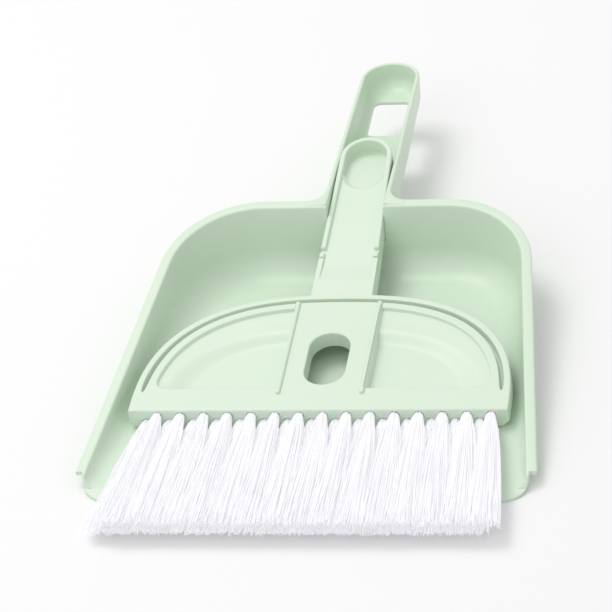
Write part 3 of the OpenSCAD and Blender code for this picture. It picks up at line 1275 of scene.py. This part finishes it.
    def groove(self) -> Shape:
        """What is cut between the two raised lines around the arch, tapered to both ends.

        Returns:
            The cutter.
        """
        line = self.arch(self.groove_mid, 1201)
        line = line[line[:, 1] > self.groove_front]
        run = run_of(line)
        places = self.groove_places(run[-1])
        grid = sampled(line, run, places)
        heading = sampled(np.gradient(line, axis=0), run, places)
        heading /= np.linalg.norm(heading, axis=1, keepdims=True)
        side = np.stack([-heading[:, 1], heading[:, 0]], axis=1)
        to_end = np.minimum(places, run[-1] - places)
        half, over, thinnest = self.groove_w / 2, 4.0, 0.002
        share = np.sqrt(np.clip(1 - np.clip(1 - to_end / self.groove_taper, 0, 1) ** 2, thinnest, 1))
        foot = half - self.groove_draft
        outline = [(half + self.groove_flare, over)]
        outline += [(half + rest, -drop) for drop, rest in quarter(self.groove_flare)]
        outline += [(foot - drop, rest - self.groove_depth) for drop, rest in quarter(self.groove_foot_r)]
        section = outline + [(-x, z) for x, z in outline[::-1]]
        rings = [
            np.array([(*(middle + across * x * part), z) for x, z in section])
            for middle, across, part in zip(grid, side, share)
        ]
        count, n = len(rings), len(section)
        ends = [tuple(range(n)), tuple(range((count - 1) * n, count * n))]
        return Shape(np.concatenate(rings), ring_faces(count, n) + ends)

    def dish(self, points: np.ndarray) -> np.ndarray:
        """Depth of a pocket's dished floor below the head's top.

        Args:
            points: Places on the head.

        Returns:
            Heights, all negative: a shelf beside the ridge, then a soft step down to the flat floor.
        """
        across, back = np.abs(points[:, 0]) / self.half_w, points[:, 1] / self.depth
        ring = (across**self.power + back**self.power) ** (1 / self.power)
        step = self.dish_edge[0] + self.dish_edge[1] * across**2
        shelf = self.shelf_depth + self.shelf_fall * smooth_step(*self.shelf_run, ring)
        deep = self.pocket_depth - self.shelf_depth - self.shelf_fall
        depth = shelf + deep * smooth_step(self.dish_blend, -self.dish_blend, ring - step)
        before, after = 0.5, 4.5
        rise = smooth_step(self.pocket_front - before, self.pocket_front + after, points[:, 1])
        return -depth * (self.front_share + (1 - self.front_share) * rise)

    def pocket_plan(self) -> Outline:
        """Plan of the right pocket.

        Returns:
            Its outline, with one round corner at the front.
        """
        front, r, inner_x = self.pocket_front, self.pocket_corner_r, self.strip_half_w
        edge = self.arch(self.pocket_in, 1601)
        edge = edge[(edge[:, 1] >= front) & (edge[:, 0] >= inner_x)]
        run = run_of(edge)
        outer_x, rear_y = edge[0][0], edge[-1][1]
        corner = bend((outer_x - r, front), (outer_x, front), sampled(edge, run, r), 10)
        bottom = level_line(front, inner_x, outer_x - r, 26)
        strip = upright(inner_x, rear_y, front, 30)[1:-1]
        return np.concatenate([bottom, corner, evenly(edge[run >= r], 56), strip])

    def pocket(self, side: int) -> Shape:
        """What is cut out for one pocket.

        Args:
            side: 1 for the right one, -1 for the left one.

        Returns:
            A closed cutter whose underside is the dished floor.
        """
        plan, flare, over, steepness, blend = self.pocket_plan(), self.pocket_edge_r, 3.0, 7.0, 0.5
        wall_steps, innermost, floor_steps = (0.12, 0.25, 0.4, 0.6, 0.85, 1.15), 0.03, 27
        n = len(plan)
        rings = []
        for drawn, z in [(-flare, over)] + [(-rest, -drop) for drop, rest in quarter(flare)]:
            rings.append(np.column_stack([inset(plan, drawn), np.full(n, z)]))
        for drawn in wall_steps:
            at_ring = inset(plan, drawn)
            wall = np.full(n, -flare - steepness * drawn)
            rings.append(np.column_stack([at_ring, soft_max(self.dish(at_ring), wall, blend)]))
        last = rings[-1][:, :2]
        centre = last.mean(axis=0)
        for share in np.linspace(1, innermost, floor_steps)[1:]:
            at_ring = centre + (last - centre) * share
            rings.append(np.column_stack([at_ring, self.dish(at_ring)]))
        count = len(rings)
        start, tip = (count - 1) * n, count * n
        faces = ring_faces(count, n) + [tuple(range(n))]
        faces += [(start + i, start + (i + 1) % n, tip) for i in range(n)]
        floor_mid = np.array([[*centre, self.dish(centre[None, :])[0]]])
        return Shape(np.concatenate(rings + [floor_mid]), faces).mirrored(side)

    def strip_hollow(self) -> bpy.types.Object:
        """What is cut from below the centre strip, around the collar of the oval hole.

        Returns:
            The cutter, in place.
        """
        wide, low, high = self.strip_half_w - self.collar_w, self.block_depth, self.depth - self.strip_rear
        corner_r, edge_r, over, post_over, tiny = 2.0, 1.0, 4.0, 9.0, 0.01
        space = rounded_rectangle(2 * wide, high - low, corner_r, (0, (low + high) / 2))
        levels: list[Level] = [(0, at(-self.plate_h - over)), (0, at(-self.strip_skin - edge_r))]
        levels += [(drop, at(-self.strip_skin - rest)) for drop, rest in quarter(edge_r, 3)][1:]
        hollow = stack(space, levels).placed(self.head_frame).to_object("strip hollow")
        w, l, middle = self.oval
        grow = 2 * self.collar_w
        collar = rounded_rectangle(w + grow, l + grow, (w + grow) / 2 - tiny, (0, middle))
        post = stack(collar, [(0, at(-self.plate_h - post_over)), (0, at(0))]).placed(self.head_frame)
        combine(hollow, post.to_object("collar"), Join.CUT)
        return hollow

    def tuft_holes(self, tufts: "Tufts") -> Shape:
        """The holes in the front face, one for each tuft.

        Args:
            tufts: The tufts that they take.

        Returns:
            All the cutters as one shape.
        """
        sides, over = 16, 1.0
        ys = (-over, self.tuft_hole_depth)
        ring = arc(0, 0, self.tuft_hole_d / 2, 0, 360, sides)[:-1]
        ends = [tuple(range(sides)), tuple(range(sides, 2 * sides))]
        holes = []
        for row in (0, 1):
            for x in tufts.across(row):
                z = -tufts.drop(row)
                rings = [np.array([(x + u, y, z + v) for u, v in ring]) for y in ys]
                holes.append(Shape(np.concatenate(rings), ring_faces(2, sides) + ends))
        return holes[0].joined(holes[1:])

    def handle_blank(self) -> Shape:
        """Outside of the handle.

        Returns:
            The solid, whose root stands inside the arch.
        """
        plan = tongue(self.handle_root_half_w, self.handle_tip_r, -self.handle_root_in, self.handle_len)
        levels: list[Level] = [
            (self.handle_draft + rest, at(drop - self.handle_h)) for drop, rest in quarter(self.handle_foot_r)
        ]
        levels += [(drop, at(-rest)) for drop, rest in quarter(self.handle_edge_r, FINE_STEPS)]
        return stack(plan, levels, Cap.STRIP)

    def web_depth(self, y: np.ndarray) -> np.ndarray:
        """Height of the web between the ribs: it leaves the arch and sinks."""
        return -self.web_drop * smooth_step(*self.web_sink, y)

    def face_height(self, points: np.ndarray) -> np.ndarray:
        """Height of the handle's face: the web, with the thumb scoop sunk in it.

        Args:
            points: Places on the handle.

        Returns:
            Heights; the scoop has a round start, a soft edge and a floor that runs down toward the tip.
        """
        x, y = points[:, 0], points[:, 1]
        r = self.handle_tip_r - self.handle_wall
        start = self.handle_len - self.handle_wall - self.scoop_len
        edge_blend, floor_blend = 1.3, 3.0
        inside = r - np.hypot(x, np.clip(start + r - y, 0, None))
        past_round = y > start + r
        run = np.clip(y - start, 0, None)
        edge = self.scoop_edge * np.where(past_round, 1.0, smooth_step(0, edge_blend, inside))
        into = run * np.where(past_round, 1.0, smooth_step(0, floor_blend, inside))
        return self.web_depth(y) - edge - self.scoop_slope * into

    def face_cavity(self) -> Shape:
        """What is cut out of the handle's face, scoop included.

        Returns:
            The cutter, whose last cap is the handle's face.
        """
        root_y, side_steps, across = 1.0, 150, 22
        plan = self.handle_plan(root_y, side_steps)
        end = self.handle_len - self.handle_wall
        floor, lip_drop, over, tiny = self.face_height, 0.7, 3.0, 0.02
        side_fillet, tip_gain, tip_start, tip_full, full_flare = 0.45, 0.75, 30.0, 8.0, 0.7
        fillet = side_fillet + tip_gain * smooth_step(end - tip_start, end - tip_full, plan[:, 1])
        flare = full_flare * smooth_step(*self.rib_flare, plan[:, 1])
        levels: list[Level] = [(-flare, at(over))]

        def eased(points: np.ndarray, height: float) -> np.ndarray:
            """A height that stays just above the face."""
            return np.maximum(height, floor(points) + 0.002)

        def filleted(points: np.ndarray, lift: float | np.ndarray) -> np.ndarray:
            """The face raised by a fillet that stays just below the ribs' tops."""
            return np.minimum(floor(points) + lift, -0.001)

        for drop, rest in quarter(1.0):
            levels.append((-flare * rest, lambda p, d=lip_drop * drop: eased(p, -d)))
        for drop, rest in quarter(1.0, 8):
            levels.append((fillet * drop + tiny, lambda p, lift=fillet * rest: filleted(p, lift)))
        return crossed(stack(plan, levels, Cap.STRIP), len(plan), floor, across)

    def rib_cuts(self) -> list[Shape]:
        """The gap across both ribs, and the low stretch between it and the head.

        Returns:
            The two cutters.
        """
        near_y, far_y = self.rib_gap
        beside, over, corner_r = 2.0, 2.0, 0.6
        edge, flare, tiny = 0.7, 0.5, 0.02
        low_root_y, low_drop, low_gap, low_over = -0.5, 0.9, 3.0, 3.0
        half = self.handle_root_half_w + beside
        gap = rounded_rectangle(2 * half, far_y - near_y, corner_r, (0, (near_y + far_y) / 2))
        gap_levels: list[Level] = [(0, at(-self.web_drop + tiny)), (0, at(-edge))]
        gap_levels += [(-flare, at(tiny)), (-flare, at(over))]
        low = block((-half, low_root_y, -low_drop), (half, near_y - low_gap, low_over))
        root = (low.points[:, 1] < near_y / 2) & (low.points[:, 2] < 0)
        low.points[root, 2] = tiny
        return [stack(gap, gap_levels), low]

    def underside(self) -> Shape:
        """What is cut out of the handle from below.

        Returns:
            The cutter, whose ceiling follows the scoop.
        """
        root_y, side_steps = 8.0, 90
        plan = self.handle_plan(root_y, side_steps)
        scoop_start = self.handle_len - self.handle_wall - self.scoop_len
        lead, fillet, lip, over, least_h = 2.0, 1.5, 0.5, 5.0, 0.6

        def ceiling(points: np.ndarray) -> np.ndarray:
            """Height of the web's underside.

            Args:
                points: Places on the handle.

            Returns:
                The heights, lower under the scoop.
            """
            into = np.clip(points[:, 1] - scoop_start + lead, 0, None)
            sunk = self.scoop_edge * np.clip(into / lead, 0, 1) + self.scoop_slope * into
            return -self.web_drop - self.handle_wall - sunk

        bottom = -self.handle_h
        lowest = bottom + least_h
        levels: list[Level] = [(-lip, at(bottom - over)), (-lip, at(bottom)), (0, at(bottom + lip))]
        for drop, rest in quarter(1.0, FINE_STEPS):
            levels.append((fillet * drop, lambda p, d=fillet * rest: np.maximum(ceiling(p) - d, lowest)))
        return stack(plan, levels, Cap.STRIP)

    def build(self, finish: bpy.types.Material, tufts: "Tufts") -> bpy.types.Object:
        """Makes the brush's moulding.

        Args:
            finish: Its plastic.
            tufts: The tufts that its holes take.

        Returns:
            The finished piece.
        """
        head, grip, deep, tiny = self.head_frame, self.handle_frame, 30.0, 0.01
        body = self.head_blank().placed(head).to_object("brush_moulding")
        plate_under = block((-REACH, self.block_depth, -deep), (REACH, REACH, -self.plate_h))
        for shape in [plate_under, *self.block_corners()]:
            combine(body, shape.placed(head).to_object("cutter"), Join.CUT)
        for rib in self.ribs():
            combine(body, rib.placed(head).to_object("rib"), Join.ADD)
        w, l, middle = self.oval
        oval = rounded_rectangle(w, l, w / 2 - tiny, (0, middle))
        hole = through_cutter(oval, at(0), at(-self.plate_h), self.oval_edge_r)
        for shape in [self.groove(), self.pocket(-1), self.pocket(1), hole]:
            combine(body, shape.placed(head).to_object("cutter"), Join.CUT)
        combine(body, self.strip_hollow(), Join.CUT)
        combine(body, self.tuft_holes(tufts).placed(head).to_object("tuft holes"), Join.CUT)
        handle = self.handle_blank().placed(grip).to_object("handle")
        for shape in [self.face_cavity(), *self.rib_cuts(), self.underside()]:
            combine(handle, shape.placed(grip).to_object("cutter"), Join.CUT)
        combine(body, handle, Join.ADD)
        smooth(body)
        dress(body, finish)
        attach(body, "brush")
        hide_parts("brush_body")
        return body


# ---------------------------------------------------------------- bristles


@dataclass
class StrandNodes(Nodes):
    """The nodes of the strands' tree, with its random draws and kept values."""

    seed: Socket

    def chance(self, low: float, high: float, draw: int) -> Socket:
        """A random number for each strand, from low to high; each draw has its own."""
        seed = self.maths("ADD", self.seed, draw)
        return self.add("FunctionNodeRandomValue", {2: low, 3: high, 8: seed}, data_type="FLOAT").outputs[1]

    def vector(self, x: object, y: object, z: object) -> Socket:
        """A vector made of three numbers or sockets."""
        return self.add("ShaderNodeCombineXYZ", {0: x, 1: y, 2: z}).outputs[0]

    def scaled(self, a: Socket, factor: object) -> Socket:
        """A vector times a number."""
        return self.add("ShaderNodeVectorMath", {0: a, "Scale": factor}, operation="SCALE").outputs[0]

    def joined(self, a: Socket, b: Socket, operation: str = "ADD") -> Socket:
        """The sum of two vectors, or their difference with SUBTRACT."""
        return self.add("ShaderNodeVectorMath", {0: a, 1: b}, operation=operation).outputs[0]

    def store(self, geometry: Socket, name: str, value: Socket, kind: str = "FLOAT_VECTOR") -> Socket:
        """Keeps a value on each point.

        Args:
            geometry: What carries the points.
            name: The name it is kept under.
            value: The value.
            kind: Its type.

        Returns:
            The geometry with the value on it.
        """
        inputs = {"Geometry": geometry, "Name": name}
        node = self.add("GeometryNodeStoreNamedAttribute", inputs, data_type=kind, domain="POINT")
        socket = next(s for s in node.inputs if s.name == "Value" and s.enabled)
        self.tree.links.new(value, socket)
        return node.outputs[0]

    def named(self, name: str) -> Socket:
        """A vector that was kept on each point."""
        node = self.add("GeometryNodeInputNamedAttribute", {"Name": name}, data_type="FLOAT_VECTOR")
        return next(s for s in node.outputs if s.enabled)


@dataclass
class Tufts:
    """Two staggered rows of bristle tufts, each strand a thin curved rod.

    Where a field has two values, they are for the lower and the upper row. The wild, bow and opening
    fields say how far strands stray at their tips, how far they bow and how early the tufts open.
    """

    per_row: int = 15
    pitch: float = 11.8
    shift: tuple[float, float] = (-0.25, 0.25)
    row_h: tuple[float, float] = (6.1, 10.4)
    lift: tuple[float, float] = (0.1, 0.6)
    row_names: tuple[str, str] = ("lower", "upper")
    clearance: float = 2.5
    length: float = 88.0
    fan: float = 0.07
    root_r: float = 2.15
    tip_r: float = 7.0
    flatten: tuple[float, float] = (0.42, 0.55)
    strands: int = 230
    thickness: float = 0.5
    raggedness: float = 0.09
    undercut: float = 0.04
    sweep: float = 1.2
    wild: tuple[float, float] = (0.5, 0.2)
    ragged_power: float = 1.8
    bow: tuple[float, float] = (1.1, 0.5)
    opening: float = 0.6
    bends: int = 7
    seed: int = 11
    row_seed: int = 50

    def across(self, row: int) -> list[float]:
        """Where the tufts of a row stand."""
        return [(i - (self.per_row - 1) / 2 + self.shift[row]) * self.pitch for i in range(self.per_row)]

    def drop(self, row: int) -> float:
        """How far below the head's top a row is, square to that top."""
        body = BrushBody()
        return (body.block_h + self.clearance - self.row_h[row]) / math.cos(math.radians(body.tilt_deg))

    def sizes(self, row: int) -> dict[str, int | float]:
        """What the tree's inputs are for a row.

        Args:
            row: 0 for the lower one, 1 for the upper one.

        Returns:
            Each input's value by its name; whole numbers are whole inputs.
        """
        return {
            "Strands": self.strands,
            "Root radius": self.root_r * MM,
            "Tip radius": self.tip_r * MM,
            "Flatten": self.flatten[row],
            "Thickness": self.thickness * MM,
            "Raggedness": self.raggedness,
            "Undercut": self.undercut,
            "Seed": self.seed + self.row_seed * row,
        }

    def roots(self, row: int, body: BrushBody) -> tuple[np.ndarray, np.ndarray]:
        """Where the tufts of a row leave the block, and where they point.

        Args:
            row: 0 for the lower one, 1 for the upper one.
            body: The moulding that holds them.

        Returns:
            The roots and the vectors from root to tip, in millimetres.
        """
        starts, aims = [], []
        rise = math.atan(self.lift[row] / self.length)
        flat = math.cos(rise) * self.length
        for x in self.across(row):
            turn = math.atan(self.fan * x / self.length)
            starts.append(tuple(body.head_frame @ Vector((x, 0.0, -self.drop(row)))))
            along = -math.cos(turn) * flat
            aims.append((math.sin(turn) * flat + self.sweep, along, math.sin(rise) * self.length))
        return np.array(starts), np.array(aims)

    def strand_points(self, n: StrandNodes, given: bpy.types.NodeOutputs) -> Socket:
        """Draws each strand's root, run, spread, bow and tone.

        Args:
            n: The tree's nodes.
            given: The tree's inputs.

        Returns:
            One point for each strand, with those values kept on it.
        """
        inputs = {"Geometry": given["Geometry"], "Amount": given["Strands"]}
        copies = n.add("GeometryNodeDuplicateElements", inputs, domain="POINT").outputs[0]
        angle, spread = n.chance(0.0, 2 * math.pi, 1), n.maths("SQRT", n.chance(0.0, 1.0, 2))
        dx = n.times(n.maths("COSINE", angle), spread)
        dz = n.times(n.maths("SINE", angle), spread)
        root = n.vector(n.times(dx, given["Root radius"]), 0.0, n.times(dz, given["Root radius"]))
        stray_x, stray_z = (
            n.times(n.chance(-1, 1, draw), n.times(given["Tip radius"], wild))
            for draw, wild in zip((3, 4), self.wild)
        )
        tip_x = n.maths("ADD", n.times(dx, given["Tip radius"]), stray_x)
        tip_z = n.maths("ADD", n.times(dz, given["Tip radius"]), stray_z)
        tip = n.vector(tip_x, 0.0, n.times(tip_z, given["Flatten"]))
        ragged = n.times(n.maths("POWER", n.chance(0, 1, 5), self.ragged_power), given["Raggedness"])
        low = n.times(n.maths("SUBTRACT", 1.0, dz), 0.5)
        short = n.maths("SUBTRACT", n.maths("SUBTRACT", 1.0, ragged), n.times(low, given["Undercut"]))
        place = n.add("GeometryNodeInputPosition").outputs[0]
        bow_x, bow_z = (size * MM for size in self.bow)
        points = n.store(copies, "root_at", n.joined(place, root))
        points = n.store(points, "run", n.scaled(n.named("aim"), short))
        points = n.store(points, "spread", n.joined(tip, root, "SUBTRACT"))
        points = n.store(points, "bow", n.vector(n.chance(-bow_x, bow_x, 6), 0.0, n.chance(-bow_z, bow_z, 7)))
        return n.store(points, "tone", n.chance(0, 1, 8), "FLOAT")

    def strand_rods(self, n: StrandNodes, points: Socket, thickness: Socket) -> Socket:
        """Puts a thin rod on each point and bends it to the values kept there.

        Args:
            n: The tree's nodes.
            points: The strands' points.
            thickness: How thick a strand is.

        Returns:
            The strands' mesh.
        """
        rod = n.add("GeometryNodeCurvePrimitiveLine", {"Start": (0, 0, 0), "End": (0, 0, 0.01)}).outputs[0]
        rod = n.add("GeometryNodeResampleCurve", {"Curve": rod, "Count": self.bends}).outputs[0]
        rods = n.add("GeometryNodeInstanceOnPoints", {"Points": points, "Instance": rod}).outputs[0]
        rods = n.add("GeometryNodeRealizeInstances", {"Geometry": rods}).outputs[0]
        share = n.add("GeometryNodeSplineParameter").outputs["Factor"]
        rods = n.store(rods, "reach", share, "FLOAT")
        opened = n.maths("POWER", share, self.opening)
        arch = n.times(n.times(share, n.maths("SUBTRACT", 1.0, share)), 4.0)
        where = n.named("root_at")
        for name, amount in (("run", share), ("spread", opened), ("bow", arch)):
            where = n.joined(where, n.scaled(n.named(name), amount))
        rods = n.add("GeometryNodeSetPosition", {"Geometry": rods, "Position": where}).outputs[0]
        ring = {"Resolution": 3, "Radius": n.times(thickness, 0.5)}
        ring = n.add("GeometryNodeCurvePrimitiveCircle", ring).outputs[0]
        inputs = {"Curve": rods, "Profile Curve": ring, "Fill Caps": True}
        return n.add("GeometryNodeCurveToMesh", inputs).outputs[0]

    def tree(self, finish: bpy.types.Material) -> bpy.types.GeometryNodeTree:
        """The node tree that turns one point for each tuft into its strands.

        Args:
            finish: The strands' material.

        Returns:
            The tree, with its sizes as named inputs.
        """
        tree = bpy.data.node_groups.new("tuft strands", "GeometryNodeTree")
        face = tree.interface
        face.new_socket("Geometry", in_out="INPUT", socket_type="NodeSocketGeometry")
        for name, value in self.sizes(0).items():
            kind = "NodeSocketInt" if isinstance(value, int) else "NodeSocketFloat"
            face.new_socket(name, in_out="INPUT", socket_type=kind)
        face.new_socket("Geometry", in_out="OUTPUT", socket_type="NodeSocketGeometry")
        given = tree.nodes.new("NodeGroupInput").outputs
        n = StrandNodes(tree, given["Seed"])
        mesh = self.strand_rods(n, self.strand_points(n, given), given["Thickness"])
        mesh = n.add("GeometryNodeSetShadeSmooth", {"Geometry": mesh, "Shade Smooth": True}).outputs[0]
        mesh = n.add("GeometryNodeRealizeInstances", {"Geometry": mesh}).outputs[0]
        mesh = n.add("GeometryNodeSetMaterial", {"Geometry": mesh, "Material": finish}).outputs[0]
        n.add("NodeGroupOutput", {0: mesh})
        return tree

    def build(self, finish: bpy.types.Material, body: BrushBody) -> list[bpy.types.Object]:
        """Makes both rows of bristles.

        Args:
            finish: The bristles' material.
            body: The moulding that holds them.

        Returns:
            One piece for each row.
        """
        tree = self.tree(finish)
        ids = {item.name: item.identifier for item in tree.interface.items_tree if item.in_out == "INPUT"}
        rows = []
        for row, name in enumerate(self.row_names):
            starts, aims = self.roots(row, body)
            mesh = bpy.data.meshes.new(f"bristles_{name}")
            mesh.from_pydata(((starts - [0, MIDDLE_Y, 0]) * MM).tolist(), [], [])
            aim = mesh.attributes.new("aim", "FLOAT_VECTOR", "POINT")
            aim.data.foreach_set("vector", (aims * MM).ravel())
            piece = linked(f"bristles_{name}", mesh)
            grow = piece.modifiers.new("strands", "NODES")
            grow.node_group = tree
            for key, value in self.sizes(row).items():
                grow[ids[key]] = value
            bake_modifiers(piece)
            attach(piece, "brush")
            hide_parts(*[f"tuft_{name}_{i + 1:02d}" for i in range(self.per_row)])
            rows.append(piece)
        return rows


# ---------------------------------------------------------------- studio


@dataclass(frozen=True)
class Lamp:
    """A square lamp that faces the set: its place and side are in metres, its power in watts."""

    name: str
    place: tuple[float, float, float]
    size: float
    watts: float
    aim_h: float = 0.02

    def hang(self) -> None:
        """Puts the lamp in the scene."""
        data = bpy.data.lights.new(self.name, "AREA")
        data.shape, data.size, data.energy = "SQUARE", self.size, self.watts
        lamp = linked(self.name, data)
        lamp.location = self.place
        back = Vector(self.place) - Vector((0, 0, self.aim_h))
        lamp.rotation_euler = back.to_track_quat("Z", "Y").to_euler()


@dataclass
class Studio:
    """Pale floor, soft lights and the camera; the floor's sizes are in metres."""

    target: tuple[float, float, float] = (-16.6, 118.8, 21.75)
    azimuth_deg: float = 14.93
    elevation_deg: float = 34.48
    roll_deg: float = -9.19
    distance: float = 1926.6
    lens_mm: float = 227.3
    sensor_mm: float = 36.0
    lamps: tuple[Lamp, ...] = (
        Lamp("key", (-0.6, 0.35, 1.7), 0.9, 12),
        Lamp("fill", (-0.5, -1.3, 1.4), 1.4, 5),
    )
    sky: float = 0.74
    floor_grey: float = 0.86
    floor_roughness: float = 0.9
    floor_half: float = 4.0
    floor_drop: float = 0.05 * MM

    def camera(self) -> None:
        """Makes the camera and looks through it."""
        az, el, roll = (math.radians(a) for a in (self.azimuth_deg, self.elevation_deg, self.roll_deg))
        back = Vector((math.sin(az) * math.cos(el), -math.cos(az) * math.cos(el), math.sin(el)))
        level = Vector((0, 0, 1)).cross(back).normalized()
        lifted = back.cross(level)
        right = math.cos(roll) * level + math.sin(roll) * lifted
        up = -math.sin(roll) * level + math.cos(roll) * lifted
        place = (Vector(self.target) - Vector((0, MIDDLE_Y, 0))) * MM + back * self.distance * MM
        data = bpy.data.cameras.new("camera")
        data.lens, data.sensor_width = self.lens_mm, self.sensor_mm
        camera = linked("camera", data)
        camera.matrix_world = Matrix.Translation(place) @ Matrix((right, up, back)).transposed().to_4x4()
        bpy.context.scene.camera = camera

    def floor(self) -> None:
        """Lays the floor."""
        half, drop = self.floor_half, self.floor_drop
        mesh = bpy.data.meshes.new("studio_floor")
        corners = [(-half, -half, -drop), (half, -half, -drop), (half, half, -drop), (-half, half, -drop)]
        mesh.from_pydata(corners, [], [(0, 1, 2, 3)])
        floor = linked("studio_floor", mesh)
        material, nodes, shader = new_material("studio floor")
        nodes.feed(shader, {"Base Color": (*[self.floor_grey] * 3, 1), "Roughness": self.floor_roughness})
        mesh.materials.append(material)

    def build(self) -> None:
        """Sets the whole studio."""
        self.camera()
        self.floor()
        for lamp in self.lamps:
            lamp.hang()
        world = bpy.data.worlds.new("studio")
        world.use_nodes = True
        sky = world.node_tree.nodes["Background"]
        Nodes(world.node_tree).feed(sky, {"Color": (1, 1, 1, 1), "Strength": self.sky})
        bpy.context.scene.world = world
        bpy.context.scene.view_settings.view_transform = "Standard"


def main() -> None:
    """Builds the set and its studio in order."""
    logging.basicConfig(level=logging.INFO, format="%(name)s: %(message)s")
    Studio().build()
    pan_plastic = MouldedPlastic(
        "pan plastic", (0.655, 0.775, 0.635), (0.625, 0.75, 0.605), (0.74, 0.84, 0.72)
    )
    brush_plastic = MouldedPlastic(
        "brush plastic", (0.67, 0.785, 0.65), (0.64, 0.76, 0.62), (0.75, 0.85, 0.73), scuffs=0.3
    )
    tufts, body = Tufts(), BrushBody()
    pieces = [Dustpan().build(pan_plastic.build()), body.build(brush_plastic.build(), tufts)]
    pieces += tufts.build(NylonBristle("nylon bristle").build(), body)
    steel = StapleSteel("staple steel").build()
    for name in ("staples_lower", "staples_upper"):
        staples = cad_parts[name]
        dress(staples, steel)
        pieces.append(staples)
    for piece in pieces:
        LOG.info("%s: %d faces", piece.name, len(piece.data.polygons))


if __name__ == "__main__":
    main()
